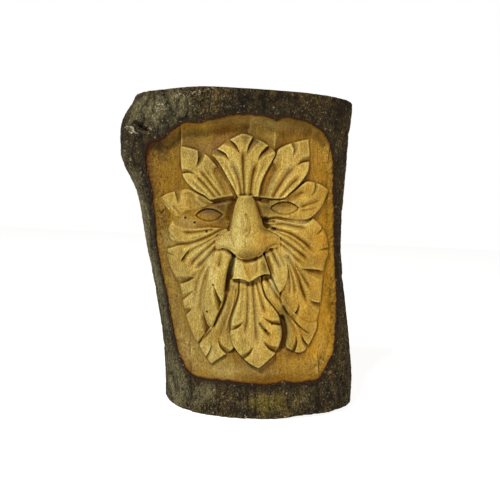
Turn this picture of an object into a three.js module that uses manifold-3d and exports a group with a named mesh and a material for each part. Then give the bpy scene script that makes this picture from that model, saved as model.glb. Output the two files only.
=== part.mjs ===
// Green man mask: a face of leaves carved in a sunk field on the round front of half a log.
// The bark stays on round the field, the back is split flat and both ends are sawn across.
// Millimetres, +Z up. The origin is on the sawn foot and the face looks along -Y.
import * as THREE from 'three';
import { mergeVertices } from 'three/addons/utils/BufferGeometryUtils.js';
import Module from 'manifold-3d';

const wasm = await Module();
wasm.setup();

// The half log
const logHeight = 300;
const footWidth = 188.6;
const leftLean = 41; // how far the left side leans out from foot to top
const rightDraw = 15.1; // how far the right side draws in above its flared foot
const waistTuck = 5.2; // hollow of the right side at two thirds of the height
const logDepth = 84; // flat back to the crown of the round front
const barkThickness = 5; // shows as the upright edge where the back is split
const roundness = 2.1; // 2 is a plain half ellipse
const crownAt = -12; // hundredths of the half width from the middle to the roundest line of the front
const cornerWear = 4; // height lost off the top left corner
const backToOrigin = 0.45 * logDepth;
const knot = { swell: 15, height: 252, reach: 32, from: 72 }; // overgrown branch stub on the left side

// The carving keeps its share of the log: places and sizes across are in hundredths of the log's half
// width, those up its height in three-hundredths of the height, and only heights over the ground are in mm.
const heightParts = 300;
const up = logHeight / heightParts;
const field = { centre: [2, 154], halfWidth: 86, halfHeight: 120, squareness: 5, cutCorner: 4.2 };
const fieldSink = 16; // depth of the ground under the bark, at the middle
const flankSink = 0.035; // share of the half width by which the ground draws in at the flanks
const scallop = { depth: 4, pitch: 46, start: -25 }; // gouge scallops along the top of the field
const carvingRoot = 7; // how deep each carved block is rooted in the ground
const petalShape = { neck: 0.6, peak: 0.66, taper: 2.4, point: 0.8, dish: 0.3, groove: 0.12, droop: 0.2 };
const cheeks = { centre: [4, 138], halfWidth: 78, halfHeight: 74, rise: 3 };
const eyes = { places: [[-28.5, 185], [41.5, 195]], half: 14, high: 6.2, point: 0.55 };
const eyeball = { rim: 2, sink: 3, rise: 3.4 };
const nose = { low: 149, high: 205, middle: 5.5, bridge: 7, flare: 11, rise: 8, tip: 8, round: 2 };
const nostrils = { swell: 14, at: 0.17, reach: 0.15, tuckIn: 6, tuckUnder: 4 };
const lip = { low: 124, high: 150, middle: 3.5, top: 13, bottom: 20, rise: 12, slope: 2, peak: 3, round: 3 };

// Each leaf has its neck's place and width, its height over the ground and its lobes, from left to right
// or from the top down. A lobe is its tip's place, its half width and its bow to the right of its way.
const leaves = [
  // Crown: a leaf on either side of the fan over the nose
  { root: [-14, 204], neck: 15, rise: 9, lobes: [[-50, 219, 7, -2], [-52, 248, 10, -1], [-30, 243, 8, 1]] },
  { root: [27, 207], neck: 12, rise: 9, lobes: [[37, 254, 8, -1], [58, 260, 11, 0], [61, 236, 8, 2]] },
  {
    root: [8, 204],
    neck: 22,
    rise: 11,
    lobes: [[-23, 243, 7, -3], [-13, 253, 7.5, -2], [3, 260, 10, 0], [19, 256, 7.5, 2], [31, 244, 7, 3]],
  },
  // Temples
  { root: [-45, 192], neck: 10, rise: 8, lobes: [[-77, 198, 8, 0], [-61, 205, 7, 0], [-47, 209, 6, 0]] },
  { root: [55, 201], neck: 11, rise: 8, lobes: [[63, 221, 8, 0], [84, 212, 8, 0], [74, 190, 8, 2]] },
  // Left cheek, from under the eye down to the long lobe
  {
    root: [-20, 166],
    neck: 16,
    rise: 8,
    lobes: [[-68, 176, 5, 1], [-73, 167, 6, 0], [-75, 151, 7, 0], [-73, 134, 8, 1]],
  },
  { root: [-29, 154], neck: 16, rise: 9, lobes: [[-69, 117, 8, -2], [-68, 97, 9, -4], [-58, 64, 12, -3]] },
  // Right cheek
  { root: [24, 171], neck: 15, rise: 8, lobes: [[75, 180, 5, -1], [83, 167, 7, -1], [81, 150, 8, -1]] },
  {
    root: [36, 157],
    neck: 16,
    rise: 9,
    lobes: [[76, 134, 8, 1], [72, 111, 9, 3], [55, 79, 12, 2], [36, 100, 8, -1]],
  },
  // Moustache
  { root: [-20, 153], neck: 10, rise: 12, lobes: [[-43, 81, 9, -3], [-28, 104, 7, -2]] },
  { root: [24, 155], neck: 0, rise: 12, lobes: [[29, 117, 8, -3]] },
  // Beard: a long stemmed leaf on either side and the middle leaf over them
  { root: [-16, 122], neck: 4, rise: 7, lobes: [[-54, 57, 6, 0], [-46, 46, 8, 0], [-27, 60, 8, 0]] },
  { root: [20, 123], neck: 4, rise: 7, lobes: [[30, 65, 8, 0], [43, 59, 8, 0], [55, 72, 6, 0]] },
  {
    root: [2, 125],
    neck: 18,
    rise: 10,
    lobes: [[-23, 80, 10, 3], [-18, 57, 10, 4], [0, 46, 14, 0], [19, 60, 10, -4], [27, 87, 10, -3]],
  },
];

const smooth = (t) => {
  const s = Math.min(Math.max(t, 0), 1);
  return s * s * (3 - 2 * s);
};
const bell = (t, power = 2) => Math.exp(-(Math.abs(t) ** power));

function leftEdge(z) {
  return -footWidth / 2 - leftLean * smooth((1.12 * z) / logHeight);
}

function rightEdge(z) {
  const t = z / logHeight;
  return footWidth / 2 - rightDraw * smooth((t - 0.05) / 0.5) - waistTuck * bell((t - 0.62) / 0.18);
}

// Depth from the flat back to a round front, at a share from -1 to 1 across it
function roundDepth(across, crown) {
  const s = Math.min(Math.abs(across), 1);
  return barkThickness + (crown - barkThickness) * (1 - s ** roundness) ** (1 / roundness);
}

// Share from the roundest line of the front to the flank on that side
function fromCrown(a) {
  return (a - crownAt) / (a > crownAt ? 100 - crownAt : 100 + crownAt);
}

const barkDepth = (a) => roundDepth(fromCrown(a), logDepth);
const groundDepth = (a) => roundDepth(fromCrown(a) / (1 - flankSink), logDepth - fieldSink);

// The point of the log at a hundredths across, b three-hundredths up and a depth from the back
function place(a, b, depth) {
  const z = b * up;
  const middle = (leftEdge(z) + rightEdge(z)) / 2;
  const half = (rightEdge(z) - leftEdge(z)) / 2;
  const flank = smooth((-a - knot.from) / (100 - knot.from));
  const swell = knot.swell * flank * bell((b - knot.height) / knot.reach, 4);
  return new THREE.Vector3(middle + (a / 100) * half - swell, backToOrigin - depth, z);
}

// Moves each vertex of a geometry by a function of its position
function mapped(geometry, move) {
  const position = geometry.attributes.position;
  for (let i = 0; i < position.count; i += 1) {
    const moved = move(position.getX(i), position.getY(i), position.getZ(i));
    position.setXYZ(i, moved.x, moved.y, moved.z);
  }
  return geometry;
}

// A closed geometry as a solid, without the empty triangles that meet at a pole
function solid(geometry) {
  geometry.deleteAttribute('normal');
  geometry.deleteAttribute('uv');
  const merged = mergeVertices(geometry, 1e-4);
  const corners = merged.index.array;
  const kept = [];
  for (let i = 0; i < corners.length; i += 3) {
    const [p, q, r] = [corners[i], corners[i + 1], corners[i + 2]];
    if (p !== q && q !== r && r !== p) kept.push(p, q, r);
  }
  const vertProperties = merged.attributes.position.array;
  const triVerts = Uint32Array.from(kept);
  return new wasm.Manifold(new wasm.Mesh({ numProp: 3, vertProperties, triVerts }));
}

function halfLog() {
  const box = new THREE.BoxGeometry(1, 1, 1, 22, 1, 20);
  return solid(mapped(box, (x, y, z) => {
    const a = 100 * Math.sin(x * Math.PI);
    const top = heightParts - cornerWear * smooth((-a - 30) / 50);
    return place(a, (z + 0.5) * top, y > 0 ? 0 : barkDepth(a));
  }));
}

// A round patch of the front, turned from a profile of shares outward and heights
function patch(profile, sides, { centre, reachAt, depthAt }) {
  const points = profile.map(([share, height]) => new THREE.Vector2(share, height));
  return solid(mapped(new THREE.LatheGeometry(points, sides), (x, y, z) => {
    const angle = Math.atan2(-z, x);
    const reach = Math.hypot(x, z) * reachAt(Math.cos(angle), Math.sin(angle));
    const a = centre[0] + reach * Math.cos(angle);
    return place(a, centre[1] + reach * Math.sin(angle), depthAt(a, y));
  }));
}

// Distance from the field's centre to its scalloped rim, one way out
function rimAt(cos, sin) {
  const power = cos * sin < 0 ? field.cutCorner : field.squareness;
  const sides = Math.abs(cos / field.halfWidth) ** power;
  const rim = (sides + Math.abs(sin / field.halfHeight) ** power) ** (-1 / power);
  const along = (field.centre[0] + cos * rim - scallop.start) / scallop.pitch;
  const wave = Math.abs(Math.sin(Math.PI * along)) - 0.5;
  return rim + scallop.depth * wave * smooth((sin - 0.6) / 0.3);
}

// The tool that sinks the field: the ground, a cove round it and a cap clear of the bark
function fieldCutter() {
  const ground = [[0, 0], [0.25, 0], [0.5, 0], [0.7, 0], [0.84, 0]];
  const cove = [[0.92, 0.03], [0.965, 0.22], [0.99, 0.6], [1, 1]];
  const cap = [[1.02, 1.8], [0, 1.8]];
  return patch([...ground, ...cove, ...cap], 56, {
    centre: field.centre,
    reachAt: rimAt,
    depthAt: (a, y) => {
      const clear = y > 1.5 ? fieldSink : 0;
      return groundDepth(a) + (barkDepth(a) - groundDepth(a)) * y + clear;
    },
  });
}

// The low swell that carries the cheeks and the mouth between the leaves
function cheekSwell() {
  const profile = [[0, -1], [1, -1], [1, 0.5], [0.9, 0.8], [0.7, 1], [0.4, 1], [0, 1]];
  return patch(profile, 24, {
    centre: cheeks.centre,
    reachAt: (cos, sin) => Math.hypot(cheeks.halfWidth * cos, cheeks.halfHeight * sin),
    depthAt: (a, y) => groundDepth(a) + (y < 0 ? -carvingRoot : cheeks.rise * y),
  });
}

// One petal of a leaf: a ridged block on a bowed midrib, pointed at the tip and rooted in the ground
function petal(root, tip, half, bow, rise) {
  const along = tip.clone().sub(root);
  const aside = new THREE.Vector2(along.y, -along.x).normalize();
  const bend = root.clone().add(tip).multiplyScalar(0.5).addScaledVector(aside, bow * 2);
  const midrib = new THREE.QuadraticBezierCurve(root, bend, tip);
  const rows = [0, 0.3, 0.5, 0.66, 0.82, 0.94, 1];
  const { neck, peak, taper, point, dish, groove, droop } = petalShape;
  const box = new THREE.BoxGeometry(2, 1, 1, 4, 1, rows.length - 1);
  return solid(mapped(box, (x, y, z) => {
    const u = rows[Math.round((z + 0.5) * (rows.length - 1))];
    const swell = u < peak ? neck + (1 - neck) * smooth(u / peak) : 1 - ((u - peak) / (1 - peak)) ** taper;
    const width = Math.max(swell * half, point) * x;
    const centre = midrib.getPoint(u);
    const tangent = midrib.getTangent(u);
    const a = centre.x + tangent.y * width;
    const b = centre.y - tangent.x * width;
    const fall = dish * x * x + groove * (1 - Math.abs(x)) * smooth(u / peak) + droop * u;
    return place(a, b, groundDepth(a) + (y > 0 ? -carvingRoot : rise * (1 - fall)));
  }));
}

// A leaf is a fan of petals from one neck
function leaf({ root, neck, rise, lobes }) {
  const [first, last] = [lobes[0], lobes[lobes.length - 1]].map(([a, b]) => new THREE.Vector2(a, b));
  const spread = last.clone().sub(first).normalize();
  return lobes.map(([a, b, half, bow], i) => {
    const share = lobes.length > 1 ? i / (lobes.length - 1) - 0.5 : 0;
    const start = new THREE.Vector2(...root).addScaledVector(spread, share * neck);
    return petal(start, new THREE.Vector2(a, b), half, bow, rise);
  });
}

// A block standing out of the ground. Half width and rise are functions of v, from 0 below to 1 above.
function block({ low, high, middle, half, rise, round, rows, lanes, peak = 0 }) {
  const box = new THREE.BoxGeometry(2, 1, 1, lanes, 1, rows);
  return solid(mapped(box, (x, y, z) => {
    const v = z + 0.5;
    const b = low + (high - low) * v - peak * (1 - Math.abs(x)) * (1 - v);
    const front = rise(v) * (1 - Math.abs(x) ** round) ** (1 / round);
    return place(middle + x * half(v), b, groundDepth(middle) + (y > 0 ? -carvingRoot : front));
  }));
}

function noseBlock() {
  const { swell, at, reach, tuckIn, tuckUnder } = nostrils;
  const wing = (v) => swell * bell((v - at) / reach) - tuckIn * bell(v / 0.07);
  return block({
    ...nose,
    half: (v) => nose.bridge + nose.flare * (1 - v) + wing(v),
    rise: (v) => nose.rise + nose.tip * smooth((1 - v) / 0.8) - tuckUnder * bell(v / 0.1),
    rows: 11,
    lanes: 10,
  });
}

function upperLip() {
  return block({
    ...lip,
    half: (v) => lip.bottom + (lip.top - lip.bottom) * v,
    rise: (v) => lip.rise - lip.slope * v,
    rows: 3,
    lanes: 6,
  });
}

// An almond: a ball drawn out to pointed corners, as long and high as asked
function almond([a0, b0], half, high, rise) {
  return solid(mapped(new THREE.SphereGeometry(1, 14, 8), (x, y, z) => {
    const a = a0 + x * half;
    const b = b0 + z * high * (1 - eyes.point * x * x);
    return place(a, b, groundDepth(a) + cheeks.rise - y * rise);
  }));
}

function carvedHalfLog() {
  let carving = halfLog().subtract(fieldCutter()).add(cheekSwell());
  for (const spot of eyes.places) {
    const socket = almond(spot, eyes.half + eyeball.rim, eyes.high + eyeball.rim, eyeball.sink);
    carving = carving.subtract(socket).add(almond(spot, eyes.half, eyes.high, eyeball.rise));
  }
  for (const each of leaves.flatMap(leaf)) carving = carving.add(each);
  return carving.add(upperLip()).add(noseBlock());
}

// A solid's triangles as a named mesh
function named(name, shape, material) {
  const { vertProperties, triVerts } = shape.getMesh();
  const geometry = new THREE.BufferGeometry();
  geometry.setAttribute('position', new THREE.BufferAttribute(new Float32Array(vertProperties), 3));
  geometry.setIndex(new THREE.BufferAttribute(new Uint32Array(triVerts), 1));
  geometry.computeVertexNormals();
  const mesh = new THREE.Mesh(geometry, material);
  mesh.name = name;
  return mesh;
}

const waxedWood = new THREE.MeshStandardMaterial({ color: 0xb8923f, roughness: 0.5, metalness: 0 });
const mask = new THREE.Group();
mask.add(named('carved_half_log', carvedHalfLog(), waxedWood));
export default mask;
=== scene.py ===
# Green man mask: half a small log, its bark left on round a sunk field with a face of leaves carved in it.
# Places on the face are (across, up): hundredths of the log's half width to each side of its middle, and
# millimetres from its foot. Heights of the relief are millimetres above the sunk ground.
import math
import bpy
import numpy as np
from mathutils import Matrix, Vector


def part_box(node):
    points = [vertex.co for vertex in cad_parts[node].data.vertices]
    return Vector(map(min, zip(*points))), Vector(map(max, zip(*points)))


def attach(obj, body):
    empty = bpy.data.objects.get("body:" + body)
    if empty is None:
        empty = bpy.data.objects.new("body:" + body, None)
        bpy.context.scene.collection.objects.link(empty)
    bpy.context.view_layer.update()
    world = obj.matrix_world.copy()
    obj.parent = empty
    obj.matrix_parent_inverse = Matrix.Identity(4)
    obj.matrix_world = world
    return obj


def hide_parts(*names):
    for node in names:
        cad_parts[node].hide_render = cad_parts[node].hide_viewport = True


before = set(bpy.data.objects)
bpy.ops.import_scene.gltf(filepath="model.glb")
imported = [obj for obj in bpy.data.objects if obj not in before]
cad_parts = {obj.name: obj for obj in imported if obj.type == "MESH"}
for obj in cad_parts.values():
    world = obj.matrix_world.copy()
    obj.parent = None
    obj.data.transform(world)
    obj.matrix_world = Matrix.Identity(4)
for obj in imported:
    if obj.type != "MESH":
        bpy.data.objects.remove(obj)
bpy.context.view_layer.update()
logLow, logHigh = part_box("carved_half_log")
mm = 0.001

# The log's form in millimetres. A span says where a change starts and how far it goes on: in shares of the
# height for draw, waist and flare, and in hundredths of the half width for the worn ends
logForm = {
    "height": (logHigh.z - logLow.z) / mm,
    "depth": (logHigh.y - logLow.y) / mm,
    "back": logHigh.y / mm,
    "footWidth": 188.6,
    "leftLean": 41,
    "leanHurry": 1.12,
    "rightDraw": 16.2,
    "drawSpan": (0.045, 0.485),
    "waistTuck": 2.2,
    "waistSpan": (0.62, 0.18),
    "topFlare": 1.6,
    "flareSpan": (0.86, 0.12),
    "barkThickness": 5,
    "roundness": 2.1,
    "crownAt": -12,
    "fieldSink": 16,
    "flankSink": 0.035,
    "knotSwell": 14.4,
    "knotHeight": 252,
    "knotReach": (36, 37),  # below and above
    "knotPower": (3, 4),
    "knotFrom": 72,
    "cornerWear": 2.6,
    "wearSpan": (30, 50),
    "cornerRound": (3.4, 4),  # at the top and at the foot
    "cornerPower": 5,
    "footWear": 3,
    "footSpan": (5, 45),
    "footReach": 20,
}


def smooth(share):
    share = np.clip(share, 0, 1)
    return share * share * (3 - 2 * share)


def rising(value, start, reach):  # 0 up to the start, and 1 from there on after the reach
    return smooth((value - start) / reach)


def hump(value, centre, reach):  # 1 at the centre
    return np.exp(-((value - centre) / reach) ** 2)


def fading(inside, reach):  # 1 at an edge and outside it, less and less inside
    return np.exp(-np.maximum(inside, 0) / reach)


def logMiddle(up):  # the middle and the half width of the log at a height
    share = up / logForm["height"]
    half = logForm["footWidth"] / 2
    left = -half - logForm["leftLean"] * smooth(logForm["leanHurry"] * share)
    waist = logForm["waistTuck"] * hump(share, *logForm["waistSpan"])
    right = half - logForm["rightDraw"] * rising(share, *logForm["drawSpan"]) - waist
    right += logForm["topFlare"] * rising(share, *logForm["flareSpan"])
    return (left + right) / 2, (right - left) / 2


def fromCrown(across):  # -1 at the left edge, 0 on the crown, 1 at the right edge
    crown = logForm["crownAt"]
    return (across - crown) / np.where(across > crown, 100 - crown, 100 + crown)


def roundDepth(share, crownDepth):  # millimetres in front of the flat back
    power, skin = logForm["roundness"], logForm["barkThickness"]
    share = np.minimum(np.abs(share), 1)
    return skin + (crownDepth - skin) * (1 - share ** power) ** (1 / power)


def barkDepth(across):
    return roundDepth(fromCrown(across), logForm["depth"])


def groundDepth(across):
    return roundDepth(fromCrown(across) / (1 - logForm["flankSink"]), logForm["depth"] - logForm["fieldSink"])


def knotPush(across, up):  # how far the overgrown branch stub stands out at the left
    off = up - logForm["knotHeight"]
    pairs = (logForm["knotReach"], logForm["knotPower"])
    reach, power = [np.where(off > 0, above, below) for below, above in pairs]
    near = np.exp(-np.abs(off / reach) ** power)
    return logForm["knotSwell"] * near * rising(-across, logForm["knotFrom"], 100 - logForm["knotFrom"])


def facePlace(across, up, depth):  # a place on the face, in metres
    middle, half = logMiddle(up)
    x = middle + across / 100 * half - knotPush(across, up)
    return np.stack([x, logForm["back"] - depth, up + 0 * x], -1) * mm


def faceUnits(points):  # and back: across and up of points in metres
    x, up = points[:, 0] / mm, points[:, 2] / mm
    middle, half = logMiddle(up)
    across = (x - middle) / half * 100
    for _ in range(4):  # the stub's push depends on the answer
        across = (x + knotPush(across, up) - middle) / half * 100
    return across, up


# The camera's view, in millimetres and degrees. Outlines and knife strokes are typed as places (right, down)
# in its 500 x 500 frame, and fromPhoto carries them to the face. Such a place has a lift: the millimetres
# above the sunk ground that it is seen at
photoView = {"across": -15.2, "away": 796.5, "up": 204.8, "lens": 56.94, "sensor": 36, "frame": 500,
             "pitch": 3.96, "roll": 2.75, "firstDepth": 60.0, "rounds": 40}


def fromPhoto(spots, lift):
    right, down = (np.array(spots, float).reshape(-1, 2) - photoView["frame"] / 2).T
    roll, pitch = math.radians(photoView["roll"]), math.radians(photoView["pitch"])
    x = right * math.cos(roll) + down * math.sin(roll)
    y = down * math.cos(roll) - right * math.sin(roll)
    focal = photoView["lens"] / photoView["sensor"] * photoView["frame"]
    ahead = focal * math.cos(pitch) - y * math.sin(pitch)
    rise = -focal * math.sin(pitch) - y * math.cos(pitch)
    depth = np.full(x.shape, photoView["firstDepth"])
    for _ in range(photoView["rounds"]):
        reach = (photoView["away"] - depth) / ahead
        up = photoView["up"] + rise * reach
        middle, half = logMiddle(up)
        across = (photoView["across"] + x * reach - middle) / half * 100
        depth = (depth + groundDepth(across) + lift) / 2
    return np.stack([across, up], -1)


latticeSize = 64  # noise repeats after this many of its sizes
latticeShift = 1000  # keeps the places on the lattice above 0
sharpTurn = 0.55  # a curve keeps a corner sharp where the cosine of its turn is less than this


def onLattice(x, y, size):
    x, y = x / size + latticeShift, y / size + latticeShift
    return x, y, np.floor(x).astype(int), np.floor(y).astype(int)


def softNoise(x, y, size, seed):  # smooth noise from -1 to 1
    table = np.random.RandomState(seed).rand(latticeSize, latticeSize) * 2 - 1
    x, y, column, row = onLattice(x, y, size)
    right, above = smooth(x - column), smooth(y - row)
    at = lambda i, j: table[(row + j) % latticeSize, (column + i) % latticeSize]
    low = at(0, 0) + (at(1, 0) - at(0, 0)) * right
    high = at(0, 1) + (at(1, 1) - at(0, 1)) * right
    return low + (high - low) * above


def cellNoise(x, y, size, seed):  # distance to the nearest of scattered points, in sizes
    table = np.random.RandomState(seed).rand(latticeSize, latticeSize, 2)
    x, y, column, row = onLattice(x, y, size)
    nearest = np.full(x.shape, np.inf)
    for i in (-1, 0, 1):
        for j in (-1, 0, 1):
            spot = table[(row + j) % latticeSize, (column + i) % latticeSize]
            away = np.hypot(column + i + spot[..., 0] - x, row + j + spot[..., 1] - y)
            nearest = np.minimum(nearest, away)
    return nearest


def curveThrough(points, closed, steps=4):  # a smooth line through the points, with its sharp corners kept
    points = np.array(points, float)
    count = len(points)
    before, after = np.roll(points, 1, 0), np.roll(points, -1, 0)
    chordIn = np.sqrt(np.linalg.norm(points - before, axis=1)) + 1e-6
    chordOut = np.sqrt(np.linalg.norm(after - points, axis=1)) + 1e-6
    slope = (after - before) / (chordIn + chordOut)[:, None]
    way = lambda v: v / (np.linalg.norm(v, axis=1, keepdims=True) + 1e-9)
    turn = (way(points - before) * way(after - points)).sum(1)
    slope[turn < sharpTurn] = 0
    if not closed:
        slope[0] = (points[1] - points[0]) / chordOut[0]
        slope[-1] = (points[-1] - points[-2]) / chordIn[-1]
    line = []
    for i in range(count if closed else count - 1):
        j = (i + 1) % count
        for share in np.arange(steps) / steps:
            two, three = share ** 2, share ** 3
            line.append((2 * three - 3 * two + 1) * points[i] + (3 * two - 2 * three) * points[j]
                        + chordOut[i] * ((three - 2 * two + share) * slope[i] + (three - two) * slope[j]))
    if not closed:
        line.append(points[-1])
    return np.array(line)


def nearLine(across, up, line, reach):
    return ((across > line[:, 0].min() - reach) & (across < line[:, 0].max() + reach)
            & (up > line[:, 1].min() - reach) & (up < line[:, 1].max() + reach))


def offStep(x, y, start, step):  # the nearest place along a step, as a share of it, and its distance squared
    share = np.clip(((x - start[0]) * step[0] + (y - start[1]) * step[1]) / (step @ step + 1e-12), 0, 1)
    return share, (x - start[0] - share * step[0]) ** 2 + (y - start[1] - share * step[1]) ** 2


def insideDistance(across, up, outline, reach=12.0):  # less than 0 outside the closed outline
    line = curveThrough(outline, True)
    result = np.full(across.shape, -reach)
    near = nearLine(across, up, line, reach)
    x, y = across[near], up[near]
    best, inside = np.full(x.shape, np.inf), np.zeros(x.shape, bool)
    for start, end in zip(line, np.roll(line, -1, 0)):
        step = end - start
        best = np.minimum(best, offStep(x, y, start, step)[1])
        crosses = (start[1] > y) != (end[1] > y)
        if start[1] != end[1]:
            inside ^= crosses & (x < start[0] + (y - start[1]) * step[0] / step[1])
    away = np.sqrt(best)
    result[near] = np.where(inside, away, -away)
    return result


def alongLine(across, up, points, reach):  # distance to a stroke, which side of it, and the share along it
    line = curveThrough(points, False)
    length = np.concatenate([[0], np.cumsum(np.linalg.norm(np.diff(line, axis=0), axis=1))])
    near = nearLine(across, up, line, reach)
    x, y = across[near], up[near]
    best, side, along = np.full(x.shape, np.inf), np.ones(x.shape), np.zeros(x.shape)
    for i in range(len(line) - 1):
        start, step = line[i], line[i + 1] - line[i]
        share, away = offStep(x, y, start, step)
        closer = away < best
        best[closer] = away[closer]
        side[closer] = np.sign(step[0] * (y - start[1]) - step[1] * (x - start[0]))[closer]
        along[closer] = ((length[i] + share * (length[i + 1] - length[i])) / length[-1])[closer]
    return near, np.sqrt(best), side, along


def rimDistance(across, up):  # millimetres inside the rim, which wanders a little as cut bark does
    ragged = sum(share * softNoise(across, up, size, seed) for share, size, seed in field["raggedNoise"])
    return insideDistance(across, up, rimLine, field["rimReach"]) + field["ragged"] * ragged


def blurred(table, reach):  # a soft blur, reach in grid steps
    pad = int(3 * reach) + 1
    wide = np.pad(table, pad, mode="edge")
    rows = np.exp(-2 * (math.pi * reach * np.fft.fftfreq(wide.shape[0])) ** 2)
    columns = np.exp(-2 * (math.pi * reach * np.fft.rfftfreq(wide.shape[1])) ** 2)
    soft = np.fft.irfft2(np.fft.rfft2(wide) * rows[:, None] * columns[None], wide.shape)
    return soft[pad:-pad, pad:-pad]


# The sunk field: its rim, the cove that falls from the rim, and the gouge cuts of its ground, with facets
# between the creases at its top and at its foot
field = {
    "rim": [
        (149.6, 144), (154.6, 138.6), (160.5, 137.6), (164.5, 134.5), (168, 131.5), (174.3, 126.7),
        (181.2, 122.3), (190.4, 121.2), (200, 122.4), (207.6, 119.8), (222.6, 117), (234.7, 115),
        (248.4, 114.5), (264, 115.6), (272.6, 118.4), (277, 120.2), (283, 117.8), (291.6, 116.8),
        (303.6, 120.2), (314, 124.9), (322.6, 130.5), (328.5, 139), (331.6, 147), (334, 167), (334, 210),
        (335, 253.5), (337, 297), (334, 351), (327.5, 366), (318.5, 379), (301, 382.6), (283.5, 381.8),
        (266, 385), (240, 382.6), (218.5, 380), (201, 378), (188.8, 371.7), (180, 357), (176, 346),
        (168.6, 308), (162, 275), (156.6, 249), (154, 221), (151, 188.5), (149, 167), (148.4, 151.6)],
    "rimLift": 13,
    "rimReach": 30.0,
    "ragged": 0.9,
    "raggedNoise": [(0.7, 6, 31), (0.5, 2.4, 32)],  # share, size, seed
    "lip": 3.0,
    "lipDive": (8, 2),  # outside the rim: how deep, within how far
    "coveWidth": 10.0,
    "leftCove": 6.0,
    "leftCoveSpan": (40, 30),
    "coveWander": (0.25, 17, 3),
    "covePower": 2.2,
    "coveCalm": 8,
    "gougeDepth": 0.8,
    "gougeSize": 12.0,
    "gougeStretch": 0.6,
    "gougeSeed": 5,
    "gougeForm": (1.6, 0.5),  # steepness of a cut's bowl, and its middle height
    "sweep": 3.2,
    "sweepMiddle": 0.4,
    "sweepFade": 18,
    "sweepLift": 2,
    # creases are columns typed at one row, and fade out at an edge, a height on the log. Each facet between
    # two creases gets an amount of painted light (more than 0) and painted shade (less than 0)
    "sweeps": [{"row": 135, "edge": 232, "way": 1, "creases": [181, 212.2, 249, 275.2, 312, 330],
                "facetLights": [0.25, -0.3, 0.5, -0.2, 0.3]},
               {"row": 366, "edge": 66, "way": -1, "creases": [192, 234, 284, 318],
                "facetLights": [0.3, -0.4, 0.35]}],
    "faceSwell": 3.6,
    "swellCentre": (240, 235),
    "swellLift": 4,
    "swellHalf": (72, 96),
    "swellSteep": 2.4,
    "swellGouge": 0.3,
    # darker along the left rim, more so higher up
    "leftRimDark": (0.25, 1.5),  # at the foot and at the top
    "leftRimDarkWidth": 3.0,
    "leftRimDarkClimb": (150, 60),
    "leftRimDarkSpan": (45, 30),
}

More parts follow.
